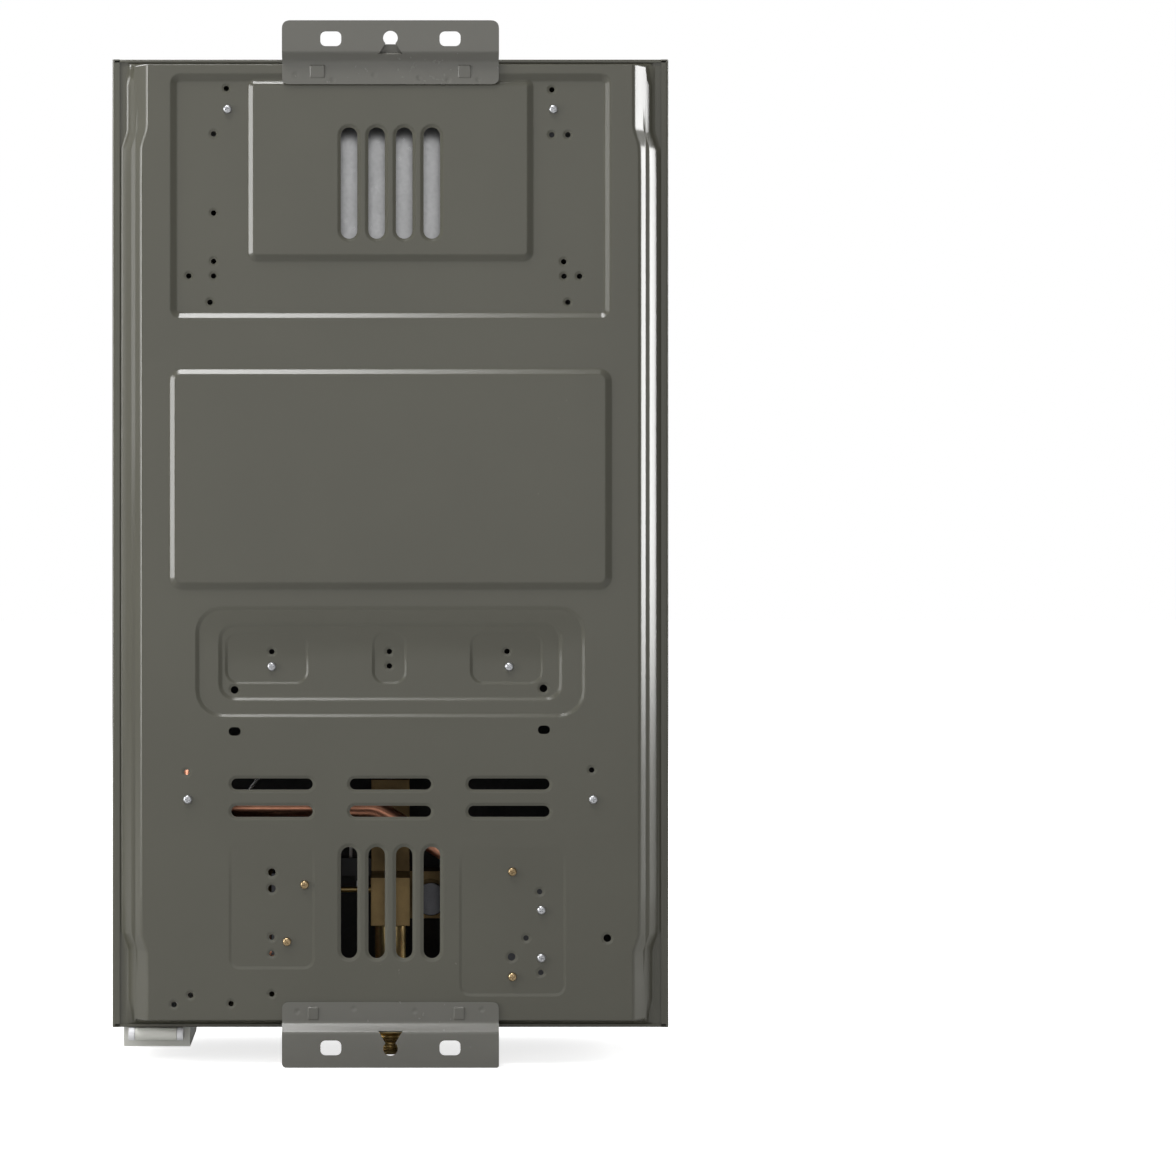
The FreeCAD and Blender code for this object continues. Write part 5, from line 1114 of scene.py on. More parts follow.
class Tree(Graph):
    """Geometry Nodes tree with named inputs that turns a small source into one mesh."""

    def __init__(self, name: str, inputs: dict[str, tuple[str, Any]]) -> None:
        """Starts a tree.

        Args:
            name: The tree's name.
            inputs: Kind and starting value of each named input but the finish.
        """
        super().__init__(bpy.data.node_groups.new(name, "GeometryNodeTree"))
        self.tree.interface.new_socket("Geometry", in_out="INPUT", socket_type="NodeSocketGeometry")
        for label, (kind, value) in {**inputs, "Finish": ("Material", None)}.items():
            socket = self.tree.interface.new_socket(label, in_out="INPUT", socket_type=f"NodeSocket{kind}")
            if value is not None:
                socket.default_value = value
        self.tree.interface.new_socket("Geometry", in_out="OUTPUT", socket_type="NodeSocketGeometry")
        self.inputs = self.node("NodeGroupInput").outputs

    def swept(self, curve: Socket, sides: Any, radius: Any) -> Socket:
        """Round wall along a curve, with closed ends."""
        ring = self.node("GeometryNodeCurvePrimitiveCircle", {"mode": "RADIUS"}, {
            "Resolution": sides, "Radius": radius}).outputs[0]
        return self.node("GeometryNodeCurveToMesh", None, {
            0: curve, "Profile Curve": ring, "Fill Caps": True}).outputs[0]

    def set_out(self, shape: Socket) -> None:
        """Ends the tree with a shape on every point of its source."""
        points = self.node("GeometryNodeMeshToPoints", None, {0: self.inputs["Geometry"]}).outputs[0]
        self.close(self.node("GeometryNodeInstanceOnPoints", None, {
            "Points": points, "Instance": shape}).outputs[0])

    def close(self, geometry: Socket) -> None:
        """Ends the tree in real geometry with a material."""
        real = self.node("GeometryNodeRealizeInstances", None, {0: geometry}).outputs[0]
        dressed = self.node("GeometryNodeSetMaterial", None, {0: real, "Material": self.inputs["Finish"]})
        self.node("NodeGroupOutput", None, {0: dressed.outputs[0]})

    def run(self, source: bpy.types.Mesh, values: dict[str, Any]) -> bpy.types.Mesh:
        """Result of the tree on a source mesh.

        Args:
            source: Mesh that the tree starts from, in the frame's metres.
            values: Value of each named input.

        Returns:
            A plain mesh.
        """
        holder = placed("holder", source)
        modifier = holder.modifiers.new("Nodes", "NODES")
        modifier.node_group = self.tree
        keys = {item.name: item.identifier for item in self.tree.interface.items_tree
                if item.item_type == "SOCKET" and item.in_out == "INPUT"}
        for label, value in values.items():
            modifier[keys[label]] = value
        graph = bpy.context.evaluated_depsgraph_get()
        made = bpy.data.meshes.new_from_object(holder.evaluated_get(graph))
        bpy.data.objects.remove(holder)
        bpy.data.meshes.remove(source)
        return made


def tube_tree() -> Tree:
    """Tree that sweeps a round wall along a route of straight runs with rounded bends."""
    tree = Tree("tube_along_route", {
        "Radius": ("Float", 0.006), "Bend": ("Float", 0.018), "Sides": ("Int", 20)})
    curve = tree.node("GeometryNodeMeshToCurve", None, {0: tree.inputs["Geometry"]}).outputs[0]
    bent = tree.node("GeometryNodeFilletCurve", {"mode": "POLY"}, {
        "Curve": curve, "Count": 10, "Radius": tree.inputs["Bend"], "Limit Radius": True}).outputs[0]
    tree.close(tree.swept(bent, tree.inputs["Sides"], tree.inputs["Radius"]))
    return tree


def row_tree() -> Tree:
    """Tree that sets the same shape on every point of its source."""
    tree = Tree("shape_on_points", {"Shape": ("Object", None)})
    tree.set_out(tree.node("GeometryNodeObjectInfo", {"transform_space": "ORIGINAL"}, {
        "Object": tree.inputs["Shape"], "As Instance": True}).outputs["Geometry"])
    return tree


def spiral_tree() -> Tree:
    """Tree that winds a round wire about the upright axis at every point of its source."""
    tree = Tree("wound_wire", {
        "Turns": ("Float", 5.0), "Coil Radius": ("Float", 0.007), "Height": ("Float", 0.016),
        "Wire Radius": ("Float", 0.0006), "Steps": ("Int", 24)})
    spiral = tree.node("GeometryNodeCurveSpiral", None, {
        "Resolution": tree.inputs["Steps"], "Rotations": tree.inputs["Turns"],
        "Start Radius": tree.inputs["Coil Radius"], "End Radius": tree.inputs["Coil Radius"],
        "Height": tree.inputs["Height"]}).outputs[0]
    tree.set_out(tree.swept(spiral, 8, tree.inputs["Wire Radius"]))
    return tree


def crumple_tree() -> Tree:
    """Tree that divides a smooth wrap and pushes it in and out in small fixed folds."""
    tree = Tree("crumpled_wrap", {
        "Depth": ("Float", 0.0016), "Scale": ("Float", 90.0), "Seed": ("Float", 4.0),
        "Level": ("Int", 3)})
    fine = tree.node("GeometryNodeSubdivideMesh", None, {
        0: tree.inputs["Geometry"], "Level": tree.inputs["Level"]}).outputs[0]
    noise = tree.node("ShaderNodeTexNoise", {"noise_dimensions": "4D"}, {
        "W": tree.inputs["Seed"], "Scale": tree.inputs["Scale"], "Detail": 3.0}).outputs[0]
    depth = (Field(tree, noise) - 0.7) * tree.inputs["Depth"]
    normal = tree.node("GeometryNodeInputNormal").outputs[0]
    push = tree.node("ShaderNodeVectorMath", {"operation": "SCALE"}, {0: normal, "Scale": depth})
    tree.close(tree.node("GeometryNodeSetPosition", None, {0: fine, "Offset": push.outputs[0]}).outputs[0])
    return tree


def route_mesh(routes: Sequence[Sequence[Point3]]) -> bpy.types.Mesh:
    """Bare edges along each route, in the frame's metres."""
    data = bpy.data.meshes.new("route")
    spots: list[Point3] = []
    edges: list[tuple[int, int]] = []
    for route in routes:
        start = len(spots)
        spots.extend(route)
        edges.extend((step, step + 1) for step in range(start, len(spots) - 1))
    data.from_pydata(spots, edges, [])
    data.transform(TO_FRAME)
    return data


@dataclass
class Workshop:
    """The Geometry Nodes trees and the ways in which they are used."""

    tube: Tree = field(default_factory=tube_tree)
    row: Tree = field(default_factory=row_tree)
    wound: Tree = field(default_factory=spiral_tree)
    crumple: Tree = field(default_factory=crumple_tree)

    def pipe(self, draft: Draft, routes: Sequence[Sequence[Point3]], radius: float, bend: float,
             sides: int = 20) -> None:
        """Adds round tubes along routes to a draft."""
        values = {"Radius": radius / 1000, "Bend": bend / 1000, "Sides": sides}
        self.put(draft, self.tube.run(route_mesh(routes), values))

    def repeat(self, draft: Draft, shape: Draft, spots: Sequence[Point3]) -> None:
        """Adds a shape, drawn about the origin, at every spot to a draft."""
        data = bpy.data.meshes.new("shape")
        bmesh.ops.transform(shape.mesh, matrix=Matrix.Scale(0.001, 4), verts=shape.mesh.verts)
        shape.mesh.to_mesh(data)
        shape.mesh.free()
        master = placed("shape", data)
        points = [[spot] for spot in spots]
        self.put(draft, self.row.run(route_mesh(points), {"Shape": master}))
        bpy.data.objects.remove(master)

    def coil(self, draft: Draft, spots: Sequence[Point3], turns: float, radius: float, height: float,
             wire: float) -> None:
        """Adds wound wires that rise from each spot to a draft."""
        values = {"Turns": turns, "Coil Radius": radius / 1000, "Height": height / 1000,
                  "Wire Radius": wire / 1000}
        self.put(draft, self.wound.run(route_mesh([[spot] for spot in spots]), values))

    def crumpled(self, draft: Draft, source: Draft, depth: float, scale: float) -> None:
        """Adds a crumpled copy of a source to a draft."""
        data = bpy.data.meshes.new("wrap")
        bmesh.ops.transform(source.mesh, matrix=TO_FRAME, verts=source.mesh.verts)
        source.mesh.to_mesh(data)
        source.mesh.free()
        self.put(draft, self.crumple.run(data, {"Depth": depth / 1000, "Scale": scale}))

    def put(self, draft: Draft, made: bpy.types.Mesh) -> None:
        """Moves a tree's result into a draft."""
        draft.add(made)
        bpy.data.meshes.remove(made)


# ---------------- pressed sheets of the casing

LOW_HOLES: list[Point2] = [
    (78.0, 248.8), (0.7, 248.9), (0.7, 239.4), (-76.6, 249.0), (133.7, 169.8), (-132.0, 171.3),
    (77.8, 61.6), (77.8, 50.8), (104.6, 18.0), (77.8, 24.3), (-97.9, 91.4), (-89.0, 61.0), (-98.7, 38.3),
    (131.1, 23.5), (142.0, 17.4), (107.8, 618.8), (-106.0, 618.0), (116.2, 588.9), (-106.0, 588.3),
    (-116.5, 588.3), (116.2, 537.0), (116.2, 505.2), (-113.8, 505.0), (132.5, 495.6), (116.2, 495.6),
    (-114.0, 495.4), (-124.2, 495.4), (118.5, 478.3), (-116.5, 478.3)]
WIDE_HOLES: list[Point2] = [(77.8, 104.1), (77.8, 93.4), (-79.5, 48.6), (102.4, 223.7), (-100.5, 224.7),
                            (-142.3, 61.0)]
SIDE_OVALS: list[Point2] = [(102.2, 196.6), (-100.7, 197.7)]

SLOT_LIP = Lip(0.9, 2.2, (0.7, 1.5, 2.2, 2.9))
LONG_SLOT_LIP = Lip(0.8, 1.8, (0.5, 1.2, 1.8, 2.4))
PILOT_LIP = Lip(0.5, 1.6, (0.6, 1.0, 1.6, 2.2), 0.35)
LOUVRE_LIP = Lip(0.7, 1.6, (0.5, 1.1, 1.6, 2.1))
BORE_LIP = Lip(0.5, 1.8, (0.6, 1.2, 1.8, 2.4))
SPINDLE_LIP = Lip(0.4, 1.5, (0.5, 1.0, 1.5, 2.0))


@dataclass
class BackPan:
    """Pressed rear plate with its recesses, raised panels, ventilation slots and pilot holes."""

    width: float = 365.4
    low: float = 1.0
    high: float = 639.0
    sheet: float = 0.6
    side_wall: float = 14.5
    foot: float = 2.5
    foot_wall: float = 4.4
    head: float = 637.5
    head_wall: float = 3.2
    end_half: float = 174.0
    swell: float = 4.0
    lower_step: Point2 = (51.7, 63.5)
    upper_step: Point2 = (579.7, 592.8)
    pilot: float = 1.8
    wide_pilot: float = 2.55
    oval: Point2 = (7.9, 5.6)
    slot_size: Point2 = (10.8, 73.0)
    slot_pitch: float = 18.1
    slot_rows: tuple[float, ...] = (556.4, 84.3)
    long_columns: tuple[float, ...] = (-77.7, 0.0, 77.7)
    long_rows: tuple[float, ...] = (144.15, 162.05)
    long_slot: Point2 = (53.4, 7.3)
    pressings: tuple[Pressing, ...] = (
        Pressing((-144.5, 467.4), (144.5, 628.0), 6.5, -2.5, 4.2),
        Pressing((-93.6, 505.5), (93.6, 626.0), 6.0, 2.5, 3.8, (621.0, 627.0)),
        Pressing((-145.0, 290.0), (145.0, 434.5), 8.0, 2.5, 4.0),
        Pressing((-128.0, 205.7), (128.0, 279.0), 17.7, -1.5, 2.5, (258.0, 279.0)),
        Pressing((-113.0, 216.5), (113.0, 267.8), 11.0, -1.5, 2.5, (250.0, 268.0)),
        Pressing((53.7, 227.4), (108.7, 262.0), 8.5, -1.0, 1.8, (244.0, 260.0)),
        Pressing((-10.8, 227.4), (12.1, 262.0), 8.0, -1.0, 1.8, (244.0, 260.0)),
        Pressing((-100.3, 227.4), (-52.2, 262.0), 8.5, -1.0, 1.8, (244.0, 260.0)),
        Pressing((49.6, 40.5), (106.1, 124.0), 7.0, -0.45, 1.8, (96.0, 122.0)),
        Pressing((-115.3, 22.8), (-45.0, 120.7), 7.0, -0.45, 1.8, (96.0, 119.0)),
    )

    def slots(self) -> list[Opening]:
        """Ventilation slots."""
        upright = [Slot((self.slot_pitch * (number - 1.5), row), 7, SLOT_LIP, self.slot_size)
                   for row in self.slot_rows for number in range(4)]
        return upright + [Slot((x, row), 6, LONG_SLOT_LIP, self.long_slot)
                          for x in self.long_columns for row in self.long_rows]

    def rounds(self) -> list[Opening]:
        """Round holes."""
        return [Bore(spot, 14, PILOT_LIP, self.pilot) for spot in LOW_HOLES] + [
            Bore(spot, 14, PILOT_LIP, self.wide_pilot) for spot in WIDE_HOLES]

    def half_width(self, z: Numbers, inset: float) -> Numbers:
        """Half width of the pressed form at each height, narrower at its two ends."""
        (low, low_end), (high, high_end) = self.lower_step, self.upper_step
        middle = eased((z - low) / (low_end - low)) * (1 - eased((z - high) / (high_end - high)))
        return self.end_half + self.swell * middle - inset

    def ends(self, share: float) -> Point2:
        """Lowest and highest place at a share of the way up the bottom and top walls."""
        return self.foot + self.foot_wall * share, self.head - self.head_wall * share

    def form(self, x: Numbers, z: Numbers) -> Numbers:
        """Place along y of the pressed form, from its flange up its four walls to its flat."""
        side = (self.half_width(z, 0.0) - np.abs(x)) / self.side_wall
        low, high = (z - self.foot) / self.foot_wall, (self.head - z) / self.head_wall
        corner = eased(side, 0.1) * eased(low, 0.16) * eased(high, 0.16)
        flange = REAR_PLANE - 1.0
        return flange + (PAN_PLANE - flange) * corner

    def surface(self, x: Numbers, z: Numbers) -> Numbers:
        """Outer face over x and height."""
        y = self.form(x, z) - drawn_in(self.slots() + self.rounds(), x, z)
        for pressing in self.pressings:
            y = y + pressing.height(x, z)
        return np.stack((x, y, z), axis=1)

    def wall_contours(self) -> list[Loop]:
        """Contours that the mesh follows across the form's side, bottom and top walls."""
        loops = []
        for inset in (-1.4, 0.0, 1.4, 4.4, 7.2, 10.2, 13.1, 14.5, 15.9):
            share = min(1.0, max(0.0, inset / self.side_wall))
            low, top = self.ends(share)
            if share == 0:
                low, top = low - 0.7, top + 0.5
            rows = np.concatenate((
                np.linspace(low, self.lower_step[0] - 0.7, 4), np.linspace(*self.lower_step, 7),
                np.linspace(90.0, 560.0, 12), np.linspace(*self.upper_step, 7),
                np.linspace(self.upper_step[1] + 0.7, top, 4))).tolist()
            right = list(zip(self.half_width(np.array(rows), inset).tolist(), rows))
            loops.append(right + [(-x, z) for x, z in reversed(right)])
        for share in (-0.16, 0.0, 0.16, 0.5, 0.84, 1.0, 1.16):
            low, top = self.ends(share)
            loops.append(rounded_rect((-168.0, low), (168.0, top), 0.4, 1))
        return loops

    def build(self) -> None:
        """Makes the plate."""
        half = self.width / 2
        outline = rounded_rect((-half, self.low), (half, self.high), 1.0, 2)
        slots, rounds = self.slots(), self.rounds()
        holes = [opening.outline() for opening in slots + rounds]
        holes += [rounded_rect(*about(spot, self.oval), 2.7, 4) for spot in SIDE_OVALS]
        creases = [loop for pressing in self.pressings for loop in pressing.creases()]
        creases += self.wall_contours() + contours(rounds + slots)
        lines = []
        for pressing in self.pressings:
            if pressing.fade:
                start, end = pressing.fade
                margin = 0.4 * (end - start)
                lines += [[(pressing.low[0], row), (pressing.high[0], row)]
                          for row in np.linspace(start - margin, end + margin, 12).tolist()]
        # The pan's inner face takes the near-black painted shade.
        PressedSheet(outline, holes, creases, self.surface, self.sheet, True, lines).piece(
            "rear_pan", OLIVE, ("back_plate",), SHADE_INSIDE)


@dataclass
class Hanger:
    """Cranked strip, spot-welded to the pan, with a keyhole, side slots, lanced tabs and weld marks."""

    name: str
    node: str
    path: Fold
    hole: float
    mouth: float
    slots: float
    tabs: tuple[Point3, ...]
    welds: tuple[Point2, ...]
    corners: tuple[float, float, float, float]
    half: float = 71.0
    sheet: float = 1.5
    key: float = 4.8
    throat: float = 3.5
    mouth_half: float = 8.0
    slot_size: Point2 = (13.7, 9.8)
    slot_side: float = 39.0
    tab_tall: float = 8.5
    tab_rise: float = 1.2
    weld_radius: float = 2.3
    weld_depth: float = 0.4
    tongue: Point3 | None = None

    def surface(self, x: Numbers, along: Numbers) -> Numbers:
        """Outer face over x and the distance along the bent path."""
        step = 0.01
        y, z = self.path.at(along)
        y_to, z_to = self.path.at(along + step)
        y_from, z_from = self.path.at(along - step)
        away = np.hypot(y_to - y_from, z_to - z_from)
        normal_y, normal_z = (z_to - z_from) / away, -(y_to - y_from) / away
        rise = np.zeros_like(x)
        for place, row, width in self.tabs:
            inside = inset_of(x, along, *about((place, row), (width, self.tab_tall)), 0.8)
            lean = 0.35 + 0.65 * eased((along - row + self.tab_tall / 2) / self.tab_tall, 0.2)
            rise = rise + self.tab_rise * eased(inside / 0.6, 0.3) * lean
        for place, row in self.welds:
            away = np.hypot(x - place, along - row)
            rise = rise - self.weld_depth * (1 - eased(away / self.weld_radius, 0.3))
        return np.stack((x, y + normal_y * rise, z + normal_z * rise), axis=1)

    def keyhole(self) -> Loop:
        """Outline of the round hole that opens into a wide mouth."""
        toward = -1 if self.mouth < self.hole else 1
        start = math.asin(self.throat / self.key)
        loop = arc((0.0, self.hole), self.key, toward * start, -toward * (math.pi + 2 * start), 20)
        loop += [(-self.mouth_half, self.mouth), (self.mouth_half, self.mouth)]
        return loop[::-toward]

    def build(self) -> None:
        """Makes the strip."""
        length = self.path.length
        outline = softened([(-self.half, 0.0), (self.half, 0.0), (self.half, length), (-self.half, length)],
                           self.corners, 6)
        holes = [self.keyhole()]
        holes += [rounded_rect(*about((place, self.slots), self.slot_size), 3.4, 5)
                  for place in (-self.slot_side, self.slot_side)]
        creases = []
        for place, row, width in self.tabs:
            creases += [rounded_rect(*about((place, row), (width, self.tab_tall), inset), 0.8, 2)
                        for inset in (-0.2, 0.2, 0.8)]
        for spot in self.welds:
            creases += [circle(spot, radius, 12) for radius in (0.8, 1.6, 2.4, 3.0)]
        lines = self.path.bends(-self.half, self.half)
        strip = PressedSheet(outline, holes, creases, self.surface, self.sheet, True, lines).piece(
            self.name, HANGER_PAINT, (self.node,))
        if self.tongue:
            draft = Draft()
            low, high, depth = self.tongue
            rings = []
            for height in (low, low + 0.4, high - 0.4, high):
                back = depth + 2.2 * (high - height) / (high - low)
                half = self.mouth_half + 0.7 - 0.3 * (height in (low, high))
                rings.append([Vector((x * half, -back - gap, height))
                              for x, gap in ((-1, 0.0), (-0.5, -0.5), (0, -0.7), (0.5, -0.5), (1, 0.0),
                                             (1, 1.2), (-1, 1.2))])
            draft.bridge(rings)
            join(strip, draft.finish(f"{self.name}_tongue", HANGER_PAINT))


@dataclass
class CasingSide:
    """Folded side panel with two banks of eight louvre slots."""

    name: str
    node: str
    side: int
    slot: Point2 = (87.0, 11.0)
    slot_corner: float = 5.4
    slot_middle: float = -80.5
    bank_lows: Point2 = (38.8, 471.9)
    pitch: float = 18.45
    sheet: float = 1.0
    height: float = CASING_HEIGHT

    def path(self) -> Fold:
        """Outer face from the rear flange to the front flange."""
        return Fold([(179.0, REAR_PLANE), (HALF_WIDTH, REAR_PLANE), (HALF_WIDTH, FRONT_PLANE),
                     (172.0, FRONT_PLANE)], 1.8)

    def surface(self, along: Numbers, z: Numbers) -> Numbers:
        """Outer face over the distance along the fold and the height."""
        x, y = self.path().at(along)
        return np.stack((self.side * (x - drawn_in(self.slots(), along, z)), y, z), axis=1)

    def slots(self) -> list[Opening]:
        """Louvre slots of the unfolded sheet."""
        middle = self.path().on_flat(self.slot_middle, 1)
        return [Slot((middle, low + self.pitch * number), 6, LOUVRE_LIP, self.slot, self.slot_corner)
                for low in self.bank_lows for number in range(8)]

    def build(self) -> None:
        """Makes the panel."""
        path = self.path()
        slots = self.slots()
        outline = [(0.0, 0.0), (path.length, 0.0), (path.length, self.height), (0.0, self.height)]
        holes = [slot.outline() for slot in slots]
        lines = [[(row, place) for place, row in line] for line in path.bends(0.0, self.height)]
        PressedSheet(outline, holes, contours(slots), self.surface, self.sheet, self.side > 0, lines).piece(
            self.name, OLIVE, (self.node,))


@dataclass
class CasingEnd:
    """Folded top or bottom panel with its holes."""

    name: str
    node: str
    path: Fold
    upward: bool
    discs: tuple[tuple[Point2, float], ...]
    window: tuple[Point2, Point2] | None = None
    half: float = 183.0
    sheet: float = 1.0

    def surface(self, x: Numbers, along: Numbers) -> Numbers:
        """Outer face over x and the distance along the fold."""
        y, z = self.path.at(along)
        rise = drawn_in(self.bores(), x, along)
        return np.stack((x, y, z + rise * (-1 if self.upward else 1)), axis=1)

    def row(self, y: float) -> float:
        """Distance along the path at a place on its flat part."""
        return self.path.on_flat(y, 0)

    def bores(self) -> list[Opening]:
        """Round holes of the unfolded sheet."""
        return [Bore((place, self.row(row)), 40, BORE_LIP, radius) for (place, row), radius in self.discs]

    def build(self) -> None:
        """Makes the panel."""
        outline = [(-self.half, 0.0), (self.half, 0.0), (self.half, self.path.length),
                   (-self.half, self.path.length)]
        bores = self.bores()
        holes = [bore.outline() for bore in bores]
        if self.window:
            (left, rear), (right, front) = self.window
            holes.append(rounded_rect((left, self.row(rear)), (right, self.row(front)), 8.0, 6))
        lines = self.path.bends(-self.half, self.half)
        PressedSheet(outline, holes, contours(bores), self.surface, self.sheet, self.upward, lines).piece(
            self.name, OLIVE, (self.node,))


@dataclass
class Casing:
    """The painted sheets that close the heater at its rear, sides, top and bottom."""

    pan: BackPan = field(default_factory=BackPan)

    def build(self) -> None:
        """Makes every sheet."""
        self.pan.build()
        for name, node, side in (("left_side", "casing_left", -1), ("right_side", "casing_right", 1)):
            CasingSide(name, node, side).build()
        top = Fold([(REAR_PLANE, 638.0), (REAR_PLANE, 640.0), (FRONT_PLANE, 640.0), (FRONT_PLANE, 628.0)],
                   1.2)
        CasingEnd("top_panel", "casing_top", top, True, (((0.0, -77.0), 44.0),)).build()
        bottom = Fold([(REAR_PLANE, 2.0), (REAR_PLANE, 0.0), (FRONT_PLANE, 0.0), (FRONT_PLANE, 12.0)], 1.2)
        bores = (*(((x, FITTING_ROW), 10.8) for x in FITTING_COLUMNS), (DRAIN_PLACE, 5.8))
        CasingEnd("bottom_panel", "casing_bottom", bottom, False, bores,
                  ((134.0, -27.0), (176.0, -108.0))).build()
        upper = Fold([(-5.5, 621.0), (-5.5, 636.0), (0.0, 641.0), (0.0, 662.0)], 2.5)
        Hanger("top_hanging_strip", "top_hanger", upper, upper.length - 11.5, upper.length - 22.5,
               upper.length - 12.0, ((47.9, 8.3, 9.9), (-48.6, 8.3, 8.5)),
               ((62.4, 6.2), (37.8, 2.9), (10.6, 6.2), (-18.7, 4.0), (-37.8, 2.7), (-57.5, 2.8)),
               (4.5, 4.5, 5.5, 5.5), tongue=(637.5, 646.6, 2.6)).build()
        lower = Fold([(0.0, -23.0), (0.0, 0.0), (-5.5, 5.7), (-5.5, 19.3)], 2.5)
        Hanger("bottom_hanging_strip", "bottom_hanger", lower, 12.5, 24.4, 13.0,
               ((50.6, 36.8, 7.2), (-45.1, 36.8, 7.2)),
               ((61.0, 38.0), (24.0, 40.0), (-16.0, 38.5), (-60.0, 39.5)), (2.0, 3.5, 4.5, 4.5)).build()


# ---------------- front face and controls

@dataclass
class FrontPanel:
    """Brushed tray that hangs over the front, with its display window, sight glass and black housing."""

    half: float = HALF_WIDTH
    low: float = 0.0
    high: float = 638.0
    sheet: float = 1.0
    edge: float = 4.0
    spindle_holes: tuple[tuple[Point2, float], ...] = (
        (SEASON_PLACE, 5.0), (WATER_PLACE, 5.0), (GAS_PLACE, 5.0), (SIGHT_PLACE, 21.0))
    window: tuple[Point2, Point2] = ((-37.3, 221.7), (37.3, 260.3))

    def corner(self, inset: float) -> tuple[Point2, Point2]:
        """Corners of the panel's outline, drawn in by an inset."""
        return shrunk((-self.half, self.low), (self.half, self.high), inset)

    def bores(self) -> list[Opening]:
        """Round holes of the panel."""
        return [Bore(spot, 40, SPINDLE_LIP, radius) for spot, radius in self.spindle_holes]

    def surface(self, x: Numbers, z: Numbers) -> Numbers:
        """Outer face over x and height, rolled back at its edges."""
        low, high = self.corner(0.0)
        inside = np.clip(inset_of(x, z, low, high, 3.0), 0.0, self.edge)
        roll = self.edge - np.sqrt(np.maximum(self.edge ** 2 - (self.edge - inside) ** 2, 0.0))
        return np.stack((x, FACE_PLANE + roll + drawn_in(self.bores(), x, z), z), axis=1)

    def build(self) -> None:
        """Makes the tray's face and its rim."""
        steps = [self.edge * (1 - math.cos(math.pi / 2 * step / 6)) for step in range(7)]
        outline = rounded_rect(*self.corner(0.02), 3.0, 4)
        bores = self.bores()
        holes = [bore.outline() for bore in bores]
        holes.append(rounded_rect(*self.window, 2.0, 4))
        creases = [rounded_rect(*self.corner(inset), 3.0, 4) for inset in steps[1:]] + contours(bores)
        face = PressedSheet(outline, holes, creases, self.surface, self.sheet, False)
        # The tray's inner face takes the near-black painted shade.
        made = face.piece("front_tray", BRUSHED, ("front_panel",), SHADE_INSIDE)
        fold = FACE_PLANE + self.edge
        draft = Draft()
        draft.bridge([[Axis.Y.point(row, *spot) for spot in rounded_rect(*self.corner(inset), radius, 4)]
                      for row, inset, radius in (
                          (fold, 0.0, 3.0), (fold + 1.0, 0.0, 3.0), (DOOR_PLANE - 2.0, 0.0, 3.0),
                          (DOOR_PLANE - 0.5, 0.1, 3.0), (DOOR_PLANE, 0.6, 3.0), (DOOR_PLANE, 1.1, 2.4),
                          (fold, 1.1, 2.4))], True, False)
        rim = draft.finish("front_rim", BRUSHED)
        join(made, rim)

    def fittings(self) -> None:
        """Makes the window, the sight glass and its ring."""
        draft = Draft()
        draft.prism(Axis.Y, rounded_rect((-37.0, 222.0), (37.0, 260.0), 2.0, 5), -160.7, -158.7, 0.8)
        draft.finish("display_window", SMOKED, ("display_lens",))
        draft = Draft()
        draft.lathe(Axis.Y, SIGHT_PLACE, [
            (-160.9, 21.6), (-160.9, 23.4), (-160.5, 26.2), (-160.1, 26.9), (-159.7, 27.0), (-159.7, 21.0),
            (-160.5, 21.0), (-160.9, 21.6)], 72, False)
        draft.finish("sight_bezel", SATIN, ("sight_ring",))
        draft = Draft()
        pane = [(-158.7, 26.4), (-158.3, 27.0), (-156.1, 27.0), (-155.7, 26.4)]
        draft.lathe(Axis.Y, SIGHT_PLACE, pane, 64)
        draft.finish("sight_pane", SIGHT, ("sight_glass",))


@dataclass
class Knob:
    """Turned knob with a grooved mark, on its spindle, in a domed black bezel."""

    name: str
    body: Body
    node: str
    centre: Point2
    radius: float
    face: float
    back: float
    collar: tuple[Point2, ...]

    def build(self) -> None:
        """Makes the knob."""
        x, z = self.centre
        face, back, turned = self.face, self.back, self.radius
        profile = [(face + 0.5, 1.0), (face + 0.35, turned * 0.55), (face, turned - 4.4),
                   (face, turned - 3.0), (face + 0.5, turned - 1.9), (face + 1.5, turned - 0.9),
                   (face + 2.6, turned - 0.4), (back - 3.4, turned), (back - 2.9, turned - 0.35),
                   (back - 2.5, turned - 0.35), (back - 2.1, turned), (back - 0.7, turned),
                   (back, turned - 0.7), (back, 3.4)]
        rings = []
        for along, radius in profile:
            ring = []
            for spot in circle((0.0, 0.0), radius, 144):
                spot = Vector(spot)
                marked = abs(spot.x) < 1.05 and spot.y > 6.0 and radius > 6.4 and along < back - 3.0
                groove = 0.8 if marked else 0.0
                if along <= face + 0.6:
                    ring.append(Axis.Y.point(along + groove, x + spot.x, z + spot.y))
                else:
                    spot *= (radius - groove) / radius
                    ring.append(Axis.Y.point(along, x + spot.x, z + spot.y))
            rings.append(ring)
        draft = Draft()
        draft.bridge(rings)
        draft.finish(self.name, SATIN, (self.node,), 28.0, self.body)

    def bezel(self, draft: Draft) -> None:
        """Adds the bezel's turned form to a draft."""
        draft.lathe(Axis.Y, self.centre, self.collar, 72, False)


